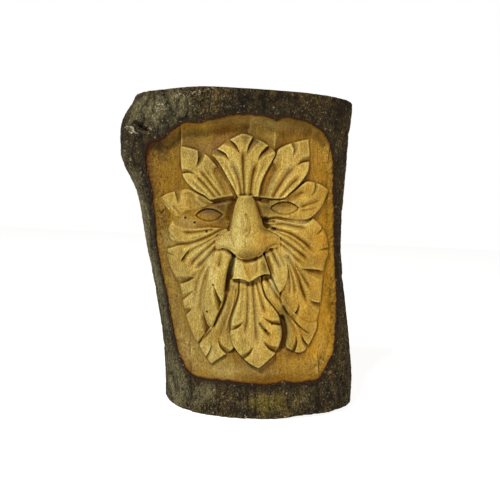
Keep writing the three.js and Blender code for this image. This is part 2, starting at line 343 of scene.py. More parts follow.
# Each leaf: rise at its root and at its tips, root, outline, valleys (line, width, depth), and knife cuts in
# its edge (line from the edge inwards, width, depth, side that slopes). Some have a dome (drop, reach) of
# their own, or an outer edge that is soft
leaves = {
    "templeLeft": {
        "rise": (6.5, 3.6), "root": (212, 206),
        "outline": [
            (153, 199.4), (160.5, 196.6), (167.4, 192.7), (176.9, 190.3), (185.5, 188.6), (190, 189.6),
            (197, 193), (207, 198), (214, 203), (204, 207.5), (197, 209.5), (190, 210.5), (184, 213),
            (180, 216), (175.8, 217), (172.5, 214.5), (168, 210), (164.6, 206.3), (161, 202.5), (157, 200.6)],
        "valleys": [
            ([(172, 204), (175, 209), (179, 214)], 0.8, 1.0),
            ([(188.5, 191), (190, 200), (196, 207.5)], 2.6, 2.6),
            ([(196, 196), (203, 202), (210, 205)], 1.4, 1.0),
            ([(161, 199), (167, 206), (174, 214.5)], 0.8, 0.7)],
        "cuts": [
            ([(174.5, 189.8), (176.5, 197), (178.2, 205)], 5.5, 3.0, 1)],
    },
    "templeRight": {
        "rise": (6.2, 4.6), "root": (278, 208),
        "outline": [
            (282, 199), (292, 192), (301.6, 184.3), (307, 180.8), (314.6, 181.8), (321.7, 184.3),
            (327, 187.6), (332, 190.6), (328.8, 193), (326.4, 198), (323.3, 205), (319, 211), (314.6, 215.6),
            (309.2, 219.2), (300, 220.6), (289, 219.4), (277, 217.2), (267, 218), (256, 216), (254, 208),
            (255, 200), (268, 198.4)],
        "valleys": [
            ([(306, 191.3), (300, 194), (290, 200)], 1.7, 1.5),
            ([(322, 200), (313, 203), (303, 206.5)], 1.4, 1.3),
            ([(318, 207), (311, 209.5), (303, 210.5)], 1.2, 0.9),
            ([(313, 203), (312.6, 206), (312.4, 209)], 0.8, 0.6)],
        "cuts": [
            ([(315.6, 181.6), (314.6, 190.6), (311.2, 196.5)], 3.2, 2.6, 1)],
    },
    "beardLeft": {
        "rise": (7.0, 4.4), "root": (233, 284),
        "outline": [
            (226, 281), (223, 290), (220, 304), (214, 318), (209, 328), (203, 337), (198.4, 345),
            (202, 352.4), (206, 359), (211.3, 365.4), (216, 361.6), (224, 356.6), (231.5, 351.5), (236, 345),
            (236, 332), (238, 318), (241, 304), (243, 292), (243, 280), (234, 279)],
        "valleys": [
            ([(214, 350), (222, 330), (231, 305), (232.5, 288)], 2.2, 1.1),
            ([(226, 340), (229, 322), (234, 306), (236, 290)], 1.2, 1.3)],
        "cuts": [
            ([(205.6, 358.4), (210.6, 349), (210.8, 340.5)], 2.2, 2.4, -1),
            ([(227.5, 355.5), (220.5, 348), (217.6, 337.5)], 4.4, 3.2, -1)],
    },
    "beardRight": {
        "rise": (8.0, 4.0), "root": (268, 283),
        "outline": [
            (262, 276), (262, 286), (266, 297), (272, 306), (279, 315), (285, 325), (285.6, 337),
            (285.4, 347), (289.5, 350.8), (297.2, 354), (303.9, 352.8), (308.8, 346.8), (313, 339),
            (317.6, 328), (318, 321), (308, 322), (298, 315), (290, 306), (284, 296), (281, 286), (278, 276),
            (270, 274)],
        "valleys": [
            ([(281, 303), (274, 292), (267, 280)], 1.5, 1.9),
            ([(284, 300), (277, 288), (271.5, 277)], 1.4, 1.7),
            ([(297, 338), (293, 326), (284, 309)], 1.8, 1.2),
            ([(304, 338), (299, 328), (290, 314)], 1.4, 0.9)],
        "cuts": [
            ([(294, 354), (297, 344), (295.8, 334)], 3.0, 2.4, 1),
            ([(309.4, 347.4), (304.3, 341), (300.4, 333)], 3.4, 2.8, 1)],
    },
    "cheekLeft": {
        "rise": (9.5, 3.0), "dome": (2.0, 4.0), "softEdge": 3.0, "root": (218, 244),
        "outline": [
            (228, 229), (219, 227.6), (207.5, 227), (194, 228.2), (183.4, 227.2), (176, 224.3),
            (171.8, 220.6), (168.2, 225), (167, 231), (169, 237.4), (171.5, 242), (168, 246), (165.8, 251),
            (166.5, 259), (169.5, 268), (173.5, 276), (178, 284), (180.7, 292.8), (181.9, 304), (184.4, 313),
            (186, 320.5), (189.5, 331), (193.7, 339.8), (197.5, 345), (205, 337), (211.9, 328.6), (215, 318),
            (217, 300), (219, 280), (223, 262), (229, 250), (231, 240)],
        "valleys": [
            ([(178.5, 229.4), (185, 232.5), (197.5, 232), (212, 229.8)], 1.5, 1.7),
            ([(175, 246.3), (191.3, 243.1), (206.3, 237.5), (222.5, 228.8)], 1.5, 1.9),
            ([(184, 257), (192, 250), (203, 244.5), (218, 235)], 1.3, 1.3),
            ([(188.1, 269.4), (193.8, 261.3), (201.3, 253.8), (215, 242)], 1.5, 2.0),
            ([(193.1, 271), (201.3, 263.8), (207.5, 257.5), (216, 247)], 1.8, 2.3),
            ([(188, 240), (198, 237.5), (210, 233)], 1.2, 0.7),
            ([(189.6, 312), (194.6, 296), (197.5, 281), (203, 268), (211, 256)], 1.6, 1.3),
            ([(199.5, 318), (200.5, 300), (203, 284), (209, 268)], 1.5, 1.1),
            ([(186.5, 281.5), (196, 274), (206, 262)], 1.5, 0.9)],
        "cuts": [
            ([(167.5, 230.5), (171, 235), (176, 240)], 2.4, 1.8, -1),
            ([(169, 248), (177, 245.4), (188, 243.3)], 5.5, 3.2, 1),
            ([(165, 252.6), (169.5, 254.4), (175, 255.6)], 2.2, 1.6, 1),
            ([(182.4, 258.4), (186.6, 253), (190.5, 249)], 3.0, 2.4, -1),
            ([(182, 283.4), (187.6, 281.2), (195.5, 277.4)], 5.0, 3.4, 1),
            ([(182.6, 300), (188.4, 295.4), (195, 289.6)], 3.0, 2.4, 1),
            ([(182.6, 316.6), (186.8, 314), (192.4, 308.4)], 6.5, 4.4, 1),
            ([(213.4, 333), (206.6, 324), (202.6, 310)], 7.0, 4.4, 1)],
    },
    "cheekRight": {
        "rise": (9.5, 3.2), "dome": (1.8, 4.0), "softEdge": 1.6, "root": (276, 238),
        "outline": [
            (262, 222), (268, 219.6), (277, 219), (291.8, 222), (305.3, 223), (313.4, 218), (318, 221.5),
            (321.8, 226.2), (325, 231), (327.5, 236), (328.8, 243), (329.5, 250), (328.5, 256), (326, 262),
            (324.5, 270), (323.5, 280), (322.5, 292), (321.5, 304), (320, 313), (317.6, 322), (314.6, 329),
            (310, 334), (302.6, 328.8), (294.5, 322), (286.4, 312.6), (279.4, 300.4), (277, 290), (277, 275),
            (274, 262), (268, 250), (263, 236)],
        "valleys": [
            ([(311.5, 229), (296, 226.8), (282.3, 224.3), (266, 225.6)], 1.6, 2.1),
            ([(318, 256), (310.7, 249), (302.6, 241.5), (289, 233.2), (273, 229)], 1.5, 1.9),
            ([(311, 257), (302.6, 247.5), (290, 238), (277, 232)], 1.4, 1.3),
            ([(311, 263.4), (303.9, 256.4), (293.1, 248), (280, 238.6)], 1.5, 1.8),
            ([(305.6, 266), (295.8, 258.5), (286.4, 249), (279, 243)], 1.4, 1.5),
            ([(308.8, 309), (302.6, 291), (296.4, 273), (288, 258)], 1.7, 2.2),
            ([(312, 292), (304, 279), (295.5, 265)], 1.3, 1.4),
            ([(289.6, 298), (289.8, 282), (287.6, 266)], 1.2, 1.2),
            ([(295.4, 298), (293.8, 283), (289.5, 266)], 1.3, 1.3),
            ([(318, 262), (309, 253), (299, 243), (287, 234)], 1.0, 0.5)],
        "cuts": [
            ([(323.4, 226.6), (320, 231.2), (315.4, 235.4)], 2.8, 2.6, 1),
            ([(330.4, 247.8), (324.4, 248.4), (317.4, 251)], 2.6, 2.2, 1),
            ([(319.6, 270.6), (311, 269.6), (300.6, 269)], 6.5, 4.4, 1),
            ([(321.8, 303.6), (316, 303), (309.6, 300.8)], 6.5, 4.0, 1),
            ([(291, 317), (297, 311), (299.4, 302)], 3.2, 3.0, -1)],
    },
    "crownLeft": {
        "rise": (10.5, 4.6), "root": (222, 206),
        "outline": [
            (234, 196), (228, 184), (222, 175), (217, 166), (212.5, 160.5), (208.6, 156), (201.9, 151.6),
            (195, 148.8), (186.4, 146.4), (179.6, 145), (179.3, 153.4), (180, 163.7), (181.2, 173.2),
            (183.6, 179.2), (188.6, 185.6), (196, 191.6), (204.6, 196.3), (208.4, 199.6), (212, 200.2),
            (220, 198.4)],
        "valleys": [
            ([(196.7, 167.2), (208.8, 181.6), (220, 195.5)], 1.9, 1.9),
            ([(193, 173.6), (204.6, 185), (214.5, 197)], 1.6, 1.7),
            ([(188, 178.5), (198.6, 188.2), (209, 198)], 1.4, 0.9),
            ([(201.9, 166), (213, 179.5), (224, 194)], 1.6, 1.3),
            ([(213.5, 165), (219.6, 175.6), (227.5, 192)], 3.4, 4.0)],
        "cuts": [
            ([(198, 149.2), (198.4, 158), (196.3, 168.4)], 5.4, 4.2, 1),
            ([(180, 173.8), (188, 172.4), (196, 174.8)], 3.4, 3.2, 1)],
    },
    "crownRight": {
        "rise": (10.5, 4.6), "root": (270, 206),
        "outline": [
            (255, 197), (259.5, 186), (264, 176.5), (270.5, 165.4), (275.6, 155.1), (277.8, 149.1),
            (284.7, 144.8), (293.3, 141.7), (301.9, 139.6), (309.4, 137.9), (310.2, 146.5), (310.7, 155.1),
            (310.2, 163.7), (308.8, 171.5), (303.6, 180.1), (296.7, 187.9), (289.8, 194), (285, 198.4),
            (275, 199.4), (262, 198)],
        "valleys": [
            ([(297, 165.4), (286.4, 175.8), (273.6, 196)], 2.0, 2.2),
            ([(302.8, 175.8), (293.3, 182.7), (281, 196.6)], 1.6, 1.7),
            ([(290, 165), (282, 177), (269, 195)], 1.4, 0.8),
            ([(275.5, 160.4), (268.5, 174), (263, 193)], 3.6, 3.8)],
        "cuts": [
            ([(291.4, 141.8), (294.4, 149.1), (293.4, 156.6)], 4.6, 4.0, 1),
            ([(311.4, 161), (303.6, 162), (296, 166.2)], 4.2, 3.8, -1)],
    },
    "crownFan": {
        "rise": (12.0, 5.4), "root": (247, 206),
        "outline": [
            (237, 197.4), (233.6, 190), (228.5, 181), (222.2, 169.6), (216.6, 161), (211.4, 155.6),
            (212.6, 151.5), (217, 147.8), (220.9, 144.6), (227.8, 139.6), (234.7, 135.8), (241.6, 132.6),
            (248.4, 133.8), (255.3, 136.8), (264, 141.3), (270.9, 146.5), (275.2, 150.8), (276.4, 154.2),
            (273.4, 160.3), (268.3, 168.9), (264, 177.5), (260.9, 186.1), (258.8, 197.4)],
        "valleys": [
            ([(229, 161), (234.7, 169.4), (239, 181), (241.4, 195.5)], 1.9, 2.3),
            ([(221.5, 160), (228.4, 171.4), (234.4, 184), (237.4, 195.5)], 1.4, 1.2),
            ([(242.8, 146), (243, 165), (243.6, 180), (244.4, 195.5)], 1.5, 2.2),
            ([(240.4, 155), (242, 167), (243, 182)], 1.4, 0.8),
            ([(246.6, 157), (247, 172), (247.6, 195.5)], 1.4, 0.7),
            ([(257.6, 161), (253.6, 172), (251.4, 184), (250.6, 195.5)], 1.9, 2.3),
            ([(267.4, 160), (260.5, 172), (256.4, 184), (255, 195.5)], 1.4, 1.0)],
        "cuts": [
            ([(229.2, 139.4), (236, 145.4), (239.8, 154.6)], 4.6, 4.0, -1),
            ([(217.4, 149.6), (225, 153.6), (229.4, 161.4)], 4.6, 4.0, -1),
            ([(253.4, 136.6), (248.4, 147), (246.7, 157)], 5.4, 3.8, 1),
            ([(267, 146.6), (260.6, 154), (257.9, 162)], 5.4, 4.2, 1)],
    },
    "beardMiddle": {
        "rise": (9.0, 6.8), "root": (251, 280),
        "outline": [
            (239.5, 276), (239.2, 286), (238.4, 296.3), (235.7, 306), (232.5, 315), (230.5, 324.2),
            (229.8, 331.4), (230.2, 338), (232.6, 346), (238, 354.3), (244.4, 361), (251, 366), (258.6, 370),
            (263.2, 366.6), (268.4, 361.9), (274.2, 356.6), (277.8, 351), (280.5, 345), (282.4, 338.8),
            (283, 333), (281.8, 325.8), (279, 315.5), (272.5, 306), (265.6, 297.5), (262.8, 288),
            (261.5, 276)],
        "valleys": [
            ([(257, 350), (255.8, 332), (254.4, 308), (252.6, 284)], 1.8, 2.0),
            ([(253.4, 345), (252.6, 326), (251.6, 304), (250.4, 284)], 1.4, 0.9),
            ([(241.6, 339.5), (246, 326), (247.6, 307.5), (247.4, 284)], 1.6, 1.6),
            ([(238, 322), (241.6, 308), (243, 286)], 1.5, 0.8),
            ([(266.8, 318), (261.4, 302), (256.4, 284)], 1.5, 1.6),
            ([(277, 309), (267.5, 296), (260, 282)], 1.4, 1.2),
            ([(271.5, 337.4), (265, 331.3), (259.6, 324.4)], 1.2, 1.9)],
        "cuts": [
            ([(228.8, 331.2), (237.5, 328.1), (245, 321)], 3.6, 3.4, 1),
            ([(284, 326.4), (271, 323.6), (261.8, 316.6)], 4.2, 3.8, -1),
            ([(242.6, 360.6), (250, 354.2), (253.4, 346)], 3.8, 3.4, 1),
            ([(277.4, 354.4), (268.8, 349.4), (262.6, 340.6)], 5.4, 4.2, -1)],
    },
    "moustacheLeft": {
        "rise": (13.0, 9.5), "dome": (4.5, 4.0), "root": (225, 246),
        "outline": [
            (215.4, 250.4), (222, 247), (229.5, 251), (232.4, 256), (230, 265), (227, 276), (225.2, 288.8),
            (224.2, 299), (221.4, 307), (217, 318), (214.6, 325.4), (211.8, 329), (208.4, 325), (205.4, 318),
            (203.6, 309), (203.6, 298), (205.6, 285), (209.6, 268), (213, 257)],
        "valleys": [
            ([(217.6, 270), (219.4, 263), (221, 252)], 2.4, 1.9),
            ([(208.4, 300), (210.4, 284), (214.4, 268)], 1.2, 0.8)],
        "cuts": [
            ([(223, 307), (218.4, 298), (213, 285)], 5.5, 5.0, 1)],
    },
    "moustacheRight": {
        "rise": (12.5, 9.5), "dome": (2.5, 3.0), "root": (272, 244),
        "outline": [
            (264.1, 252), (269, 248), (276, 246.4), (281, 251), (285.6, 259), (288.6, 270), (287.8, 280),
            (285, 288), (279.6, 294.6), (277, 289), (274, 282), (269.6, 271), (265.6, 260)],
        "valleys": [
            ([(281.8, 271.6), (278.4, 265), (271.2, 250)], 1.3, 1.8),
            ([(287, 269), (283, 260), (277.4, 249.4)], 1.3, 1.6)],
        "cuts": [],
    },
}

# How every leaf is cut
leafCut = {
    "edgeRamp": 1.0,
    "edgeRound": (0.5, 0.8),  # drop at the edge and its reach, as in the dome
    "dome": (1.1, 4.0),
    "softCentre": (245, 240),
    "softLift": 6,
    "softSpan": (42, 12),
    "stopCut": 0.25,
    "stopCutAt": (-0.3, 0.7),
    "flats": (0.2, 5, 11),  # depth, size, seed
    "flatsStretch": 0.5,
    "valleyWiden": 2.8,
    "valleyDeepen": 2.0,
    "valleyFade": 0.3,
    "valleyPower": 1.5,
    "cutWiden": 1.3,
    "cutDeepen": 1.2,
    "cutTaper": 0.8,
    "cutTip": 0.4,
    "cutSteep": 0.55,
    "cutRunOut": 1.8,
    "cutPower": 0.75,
    "cutShade": 0.5,
    "cutShadeFade": 0.4,
}

# The nose. Its top, tip and foot are rows of the frame, met at one column
nose = {
    "outline": [
        (239, 195.6), (252, 195.2), (254.7, 199.1), (258.2, 204.5), (260.9, 212.7), (262.7, 220.9),
        (264.8, 226.4), (269.1, 230), (274.5, 232.7), (279.1, 236), (280.8, 240.9), (280.4, 245.9),
        (274.5, 245.9), (269.1, 249.3), (263.6, 253.6), (258.2, 256.8), (250.9, 259.3), (243.6, 259.7),
        (236.4, 256.8), (230, 252), (223.6, 248.4), (218.2, 249.7), (214.8, 249.4), (214.8, 241.8),
        (217.3, 236.4), (221.8, 233.6), (228, 231), (230, 225.5), (231.8, 216.4), (233.4, 207.3),
        (236.2, 200)],
    "outlineLift": 11,
    "axis": [(245.6, 194), (246.4, 215), (246.6, 238), (247, 262)],
    "axisLift": 13,
    "axisReach": 45,
    "column": 246,
    "rows": (195, 243, 259),
    "rowLift": 12,
    "bridgeRise": 11.0,
    "tipRise": 15.8,
    "mostRise": 16,
    "bridgeHalf": 9.5,
    "tipHalf": 21.0,
    "pastTip": 1.4,
    "widenPower": 1.1,
    "roundPowers": (1.9, 0.7),
    "underCut": 0.42,
    "underPower": 2.4,
    "wingRise": 11.0,
    "wingFall": 4.0,
    "wingSpan": (9, 16),
    "wingUnder": 1.6,
    "wingLeast": 2,
    "wingStart": (20, 12),  # above the tip, and over how far
    "blend": 0.7,
    "edgeRound": (1.2, 1.6),
    "stopCut": 0.9,
    "stopCutAt": (-0.5, 0.8),
    "creases": [([(230, 225), (231, 236), (234.6, 247)], 2.2, 1.3),
                ([(264.5, 223), (266.8, 234), (264.4, 245)], 2.2, 0.9)],
}

# The upper lip: two ridges with a scoop between them (line, fall outside it, its inner side)
upperLip = {
    "outline": [
        (236.4, 252), (262.5, 252), (266, 259), (269, 268), (271.3, 275.6), (265.2, 275), (258.6, 277.2),
        (254, 280), (249, 282.4), (244, 280.2), (236.6, 279.8), (229.6, 280.9), (232.6, 276), (234.6, 258)],
    "lift": 9,
    "rise": 12.4,
    "ridges": [([(240, 254), (243.8, 272), (249.5, 284)], 0.3, 1),
               ([(258.8, 254), (259.3, 272), (251, 284)], 0.2, -1)],
    "ridgeReach": 25,
    "scoop": (2.6, 3.4),  # depth, and how far from a ridge it is full
    "edgeRound": (0.5, 0.8),
}

# The eyes: corners and tops of the almonds, left, top, right, foot
eyes = {
    "corners": [((195.4, 215.8), (209, 208.2), (222.2, 214.5), (209, 221.5)),
                ((270.2, 208.4), (285, 201.3), (298.8, 208.2), (285.2, 214.7))],
    "lift": 5,
    "archPower": 0.8,
    "ball": 1.6,
    "sink": (0.9, 3.0),  # at the lower and at the upper lid
    "lidGroove": (0.62, 1.1),
}

# Hollows beside and between the forms (line, width, depth), and small holes
hollows = {
    "first": [
        ([(236, 199), (231, 208), (229, 222)], 3.2, 3.4),
        ([(212, 202.5), (224, 200.5), (236, 199)], 2.0, 2.2),
        ([(258, 199), (263, 201), (270, 201.6)], 1.8, 2.6),
        ([(262, 218), (265.5, 222.6), (262.5, 228)], 3.2, 5.0),
        ([(262, 221.6), (268, 221.2), (276, 221.6)], 1.8, 4.0),
        ([(261, 225.4), (269, 227), (277, 229.6)], 1.8, 3.6),
        ([(170, 217), (166, 214.6), (161.5, 210)], 3.0, 2.6),
        ([(233.6, 257), (230.6, 266), (228, 280), (226.6, 294)], 2.5, 7.0),
        ([(227, 292), (223.4, 306), (217.6, 318), (213, 328)], 1.3, 3.4),
        ([(211.9, 329.4), (205, 337.4), (197.5, 346)], 0.9, 2.0),
        ([(239, 280), (238.6, 294), (234.8, 308), (230.6, 322), (229.4, 334)], 0.9, 2.4),
        ([(266.6, 255), (270.4, 266), (273.6, 277)], 1.6, 2.4),
        ([(229, 281.4), (237, 280.8), (249, 283.4), (258.6, 278.4), (272, 276.6)], 2.8, 2.6),
        ([(281, 291), (280, 297), (281.4, 304)], 1.0, 2.0),
        ([(280.6, 314), (283.4, 322), (284.8, 335), (281.6, 350)], 2.6, 7.0),
        ([(281, 303), (287.5, 313.5), (295.5, 323), (303, 330), (311.4, 335.4)], 0.9, 1.6)],
    "underNose": [([(213.5, 251), (218.5, 250.6), (223.6, 249.4), (231, 254), (238, 258.8), (247, 261.4),
                    (256, 259), (264.6, 254), (272, 249.4), (281, 247.6)], 1.5, 3.4)],
    "lift": 6,
    "endFade": (0.2, 0.25),
    "lowest": -1.5,
    "wormHoles": [(185, 218), (194.2, 222.8), (206.4, 231.6), (213.3, 285), (272, 324.5), (265.8, 331.2),
                  (207, 312)],
    "wormLift": 8,
    "wormDepth": 2.5,
    "wormHalf": 1.6,
}

# Oval growth rings that show on the tip of the nose
growthRings = {"place": (245.8, 225), "lift": 14, "half": (2.4, 6.0), "radii": (0.45, 1.0, 1.6),
               "width": 0.16, "amount": 0.9}

# Where dark wax and painted shade lie (more than 0), and where painted highlights go and the wax is rubbed
# thin (less than 0): place (right, down), half sizes, amount
waxShadeAndHighlightSpots = [
    (219, 206, 15, 9, 0.75), (228, 203, 6, 8, 0.4), (224, 219, 9, 7, 0.45), (264, 206, 7, 10, 0.65),
    (266, 223, 5.5, 5.5, 0.95), (282, 199, 18, 4, 0.3), (285, 208, 20, 9, 0.22), (200, 213, 18, 10, 0.2),
    (227, 298, 5, 10, 0.4), (283, 332, 5, 18, 0.8), (284, 296, 6, 8, 0.4), (222, 318, 6, 18, 0.35),
    (220, 173, 5, 13, 0.35), (276, 160, 4, 12, 0.4), (290, 312, 10, 16, 0.4), (250, 134, 12, 6, 0.3),
    (262, 141, 8, 5, 0.3), (158, 143, 10, 6, 0.4), (184, 139, 8, 7, 0.3), (325, 150, 10, 18, -0.1),
    (315, 366, 12, 10, -0.15), (293, 345, 12, 12, 0.25), (197, 153, 6, 8, 0.25), (211, 164, 6, 8, 0.3),
    (238, 226, 6, 22, -0.5), (224, 241, 9, 7, -0.45), (222, 232.5, 8, 3, 0.6), (209, 211.6, 11, 2.6, 0.4),
    (285, 204.6, 12, 2.6, 0.5), (209, 219, 9, 2, -0.2), (285, 212, 10, 2, -0.25),
    (186, 221.5, 14, 6.5, -0.4), (265, 266, 3.5, 10, 0.45), (246, 256, 14, 3, 0.3), (268, 251, 10, 4, 0.35),
    (268, 230, 7, 4, 0.3), (211, 276, 4, 16, -0.6), (236, 268, 4.5, 11, -0.8), (228, 176, 4, 14, -0.4),
    (236, 168, 5, 12, -0.3), (273, 287, 4, 8, -0.6), (298, 160, 9, 14, -0.2), (286, 165, 5, 14, -0.35),
    (210, 350, 9, 10, -0.4), (260, 350, 14, 14, -0.2), (252, 305, 12, 20, -0.25), (290, 224, 18, 4, -0.25),
    (184, 200, 5, 8, -0.3), (205, 255, 9, 8, -0.4), (191, 297, 8, 14, -0.35), (201, 290, 4, 30, -0.3),
    (190, 350, 10, 14, -0.3), (160, 215, 9, 30, -0.1), (170, 285, 9, 40, -0.12), (170, 240, 6, 8, -0.4),
    (168, 203, 12, 6, -0.3), (245, 371, 34, 6, -0.25), (288, 256, 6, 8, -0.4), (278, 262, 5, 12, -0.4),
    (313, 258, 8, 12, 0.2), (314, 299, 6, 10, 0.3), (310, 320, 8, 12, 0.2), (316, 190, 8, 12, 0.2),
    (233, 308, 4, 16, -0.35), (165, 175, 13, 28, 0.24), (197, 143, 20, 9, 0.35), (251, 134, 15, 7, 0.4),
    (281, 146, 16, 9, 0.3), (168, 217, 8, 5, 0.3), (213, 219, 12, 3.5, 0.25), (249, 200, 7, 6, 0.5),
    (276, 210, 9, 5, 0.5), (266, 231, 6, 5, 0.3), (255, 254, 20, 4, 0.35), (265, 264, 3, 9, 0.4),
    (274, 172, 7, 14, 0.15), (190, 192, 12, 6, 0.15), (225, 185, 5, 9, 0.2), (233.5, 285, 4, 5, 0.5),
    (227, 304, 4, 16, 0.25), (206, 333, 6, 6, 0.3), (285, 320, 4.5, 18, 0.45), (308, 336, 8, 8, 0.25),
    (269, 353, 6, 4, 0.3), (295, 356, 12, 4, 0.3), (298, 376, 16, 4, 0.2), (334, 315, 4, 36, 0.4),
    (314, 155, 6, 20, 0.25), (271, 186, 4, 11, 0.35), (222, 372, 10, 8, -0.2), (250, 216, 6, 12, -0.15),
    (255, 122, 44, 5, -0.25), (300, 200, 14, 10, -0.15), (300, 222, 12, 4, -0.3), (247, 139, 5, 7, 0.3),
    (263, 143, 6, 5, 0.3), (195, 153, 5, 8, 0.2), (277, 152, 4, 8, 0.2), (234, 182, 3, 12, 0.4),
    (213, 238, 12, 3.5, 0.3), (272, 246, 9, 3, 0.25), (276, 227, 9, 3, 0.2), (310, 264, 9, 9, 0.2),
    (300, 275, 9, 5, 0.2), (230, 293, 4, 12, 0.2), (288, 326, 4, 14, 0.3), (308, 334, 6, 10, 0.15),
    (269, 353, 6, 3.5, 0.25), (297, 357, 6, 5, 0.25), (291, 377, 10, 5, 0.2), (195, 369, 6, 4, 0.3),
    (187, 283, 5, 4, 0.25), (209, 213, 11, 4, 0.15), (208, 334, 5, 6, 0.2), (230, 216, 5, 12, -0.4),
    (230, 320, 4, 10, -0.4), (281, 295, 4, 7, -0.35), (258, 325, 4, 12, -0.3), (288, 256, 5, 8, -0.3),
    (202, 324, 4, 8, -0.35), (212, 355, 5, 6, -0.35), (291, 300, 5, 14, -0.2), (252, 266, 4, 8, -0.3),
    (240, 240, 12, 8, -0.15), (322, 345, 5, 14, -0.25), (283, 340, 4, 8, -0.3), (175, 330, 14, 30, -0.2),
    (222, 378, 14, 4, -0.25), (289, 275, 5, 14, -0.2), (214, 165, 7, 12, 0.15), (236, 170, 4, 8, -0.2),
    (191, 200, 10, 8, 0.15), (198, 245, 8, 5, -0.15), (295, 188, 8, 6, 0.1), (223, 243, 5, 4, -0.3),
    (242, 215, 4, 12, -0.15), (244, 243, 8, 6, -0.1), (236, 268, 3, 8, -0.3), (212, 272, 3, 10, -0.3),
    (274, 280, 3, 8, -0.3)]

# Where the wax is golden, and where warm light on the right side and the shaded side of the nose are painted
# golden, the same way
amberAndPaintedLightSpots = [
    (209, 213, 12, 5, 0.6), (263, 234, 5, 12, 0.3), (270, 243, 8, 5, 0.2), (250, 250, 12, 4, 0.2),
    (247, 270, 4, 7, 0.3), (305, 260, 26, 60, 0.5), (300, 335, 30, 34, 0.8), (326, 250, 14, 70, 0.8),
    (324, 345, 16, 36, 0.9), (300, 190, 30, 20, 0.3), (322, 150, 14, 26, 0.6), (262, 240, 10, 16, 0.3),
    (175, 215, 14, 10, 0.3), (262, 310, 14, 26, 0.4), (208, 216, 14, 8, 0.3), (190, 125, 16, 4, 0.8),
    (160, 180, 12, 40, 0.4)]

# Where specks of dirt lie in the ground, the same way
dirtSpots = [
    (162, 150, 12, 12, 1.0), (160, 185, 10, 30, 0.5), (163, 225, 8, 20, 0.7), (172, 270, 8, 40, 0.3),
    (329, 280, 6, 90, 0.5), (325, 160, 10, 30, 0.4), (180, 128, 12, 6, 0.5), (320, 365, 14, 12, 0.6),
    (250, 378, 50, 6, 0.3), (245, 225, 60, 60, -0.6), (190, 350, 14, 12, 0.3)]

# The carved piece: the grid it is carved on, how thick it is, and the hollows that its finish reads for
# painted shade, painted highlights and dark wax
slab = {
    "left": -92,
    "right": 96,
    "low": 26,
    "high": 284,
    "step": 0.46,
    "thick": 11,
    "faces": 196000,
    "cavities": {"wideCavity": 4, "fineCavity": 1.2},  # blurred over so many millimetres
    "spotLift": 6,
    "smoothAngle": 40,
}


def spotsAt(spots, across, up, lift):
    amount = np.zeros(across.shape)
    for right, down, wide, high, much in spots:
        x, y = fromPhoto((right, down), lift)[0]
        amount += much * np.exp(-((across - x) / wide) ** 2 - ((up - y) / high) ** 2)
    return amount


def carveLeaf(across, up, leaf):
    lift = sum(leaf["rise"]) / 2
    inside = insideDistance(across, up, fromPhoto(leaf["outline"], lift))
    root = fromPhoto(leaf["root"], lift)[0]
    far = np.hypot(across - root[0], up - root[1])
    share = np.clip(far / far[inside > 0].max(), 0, 1)
    rootRise, tipRise = leaf["rise"]
    top = rootRise + (tipRise - rootRise) * share
    for drop, reach in (leaf.get("dome", leafCut["dome"]), leafCut["edgeRound"]):
        top -= drop * fading(inside, reach)
    dip, shade = np.zeros(across.shape), np.zeros(across.shape)
    for spots, width, depth in leaf["valleys"]:
        width, depth = width * leafCut["valleyWiden"], depth * leafCut["valleyDeepen"]
        near, away, side, along = alongLine(across, up, fromPhoto(spots, lift), width)
        fade = smooth(along / leafCut["valleyFade"])
        groove = np.clip(1 - away / width, 0, 1) ** leafCut["valleyPower"]
        dip[near] = np.maximum(dip[near], depth * fade * groove)
    top -= dip
    for spots, width, depth, slope in leaf["cuts"]:
        near, away, side, along = alongLine(across, up, fromPhoto(spots, lift), 2 * width)
        wide = leafCut["cutWiden"] * width * (1 - along) ** leafCut["cutTaper"] + leafCut["cutTip"]
        reach = np.where(side == slope, wide, leafCut["cutSteep"])
        deep = leafCut["cutDeepen"] * depth * (1 - along ** leafCut["cutRunOut"])
        wedge = np.clip(1 - away / reach, 0, 1) ** leafCut["cutPower"]
        top[near] -= deep * wedge
        dark = leafCut["cutShade"] * wedge * smooth((1 - along) / leafCut["cutShadeFade"])
        shade[near] = np.maximum(shade[near], dark)
    return inside, top, shade


def carveGround(across, up, inRim):  # gouge cuts, facets at both ends with painted light and shade on each, the cove, and the swell under the face
    below = barkDepth(across) - groundDepth(across)
    cells = cellNoise(across, up * field["gougeStretch"], field["gougeSize"], field["gougeSeed"])
    steep, middle = field["gougeForm"]
    ground = field["gougeDepth"] * (cells ** 2 * steep - middle)
    facetLight = np.zeros(across.shape)
    for sweep in field["sweeps"]:
        lines = fromPhoto([(x, sweep["row"]) for x in sweep["creases"]], field["sweepLift"])[:, 0]
        share = np.full(across.shape, 0.5)
        near = smooth((up - sweep["edge"]) * sweep["way"] / field["sweepFade"])
        for left, right, paintedFacetLight in zip(lines[:-1], lines[1:], sweep["facetLights"]):
            here = (across >= left) & (across < right)
            share[here] = ((across - left) / (right - left))[here]
            facetLight[here] += (paintedFacetLight * near)[here]
        ground += field["sweep"] * ((2 * share - 1) ** 2 - field["sweepMiddle"]) * near
    width = field["coveWidth"] + field["leftCove"] * rising(-across, *field["leftCoveSpan"])
    wander, size, seed = field["coveWander"]
    width = width * (1 + wander * softNoise(across, up, size, seed))
    cove = (below - field["lip"]) * (1 - np.clip(inRim / width, 0, 1)) ** field["covePower"]
    ground = ground * np.exp(-cove / field["coveCalm"]) + cove
    centre = fromPhoto(field["swellCentre"], field["swellLift"])[0]
    half = field["swellHalf"]
    swell = 1 - ((across - centre[0]) / half[0]) ** 2 - ((up - centre[1]) / half[1]) ** 2
    swell = field["faceSwell"] * smooth(swell * field["swellSteep"]) + field["swellGouge"] * ground
    return np.maximum(ground, swell), below, facetLight


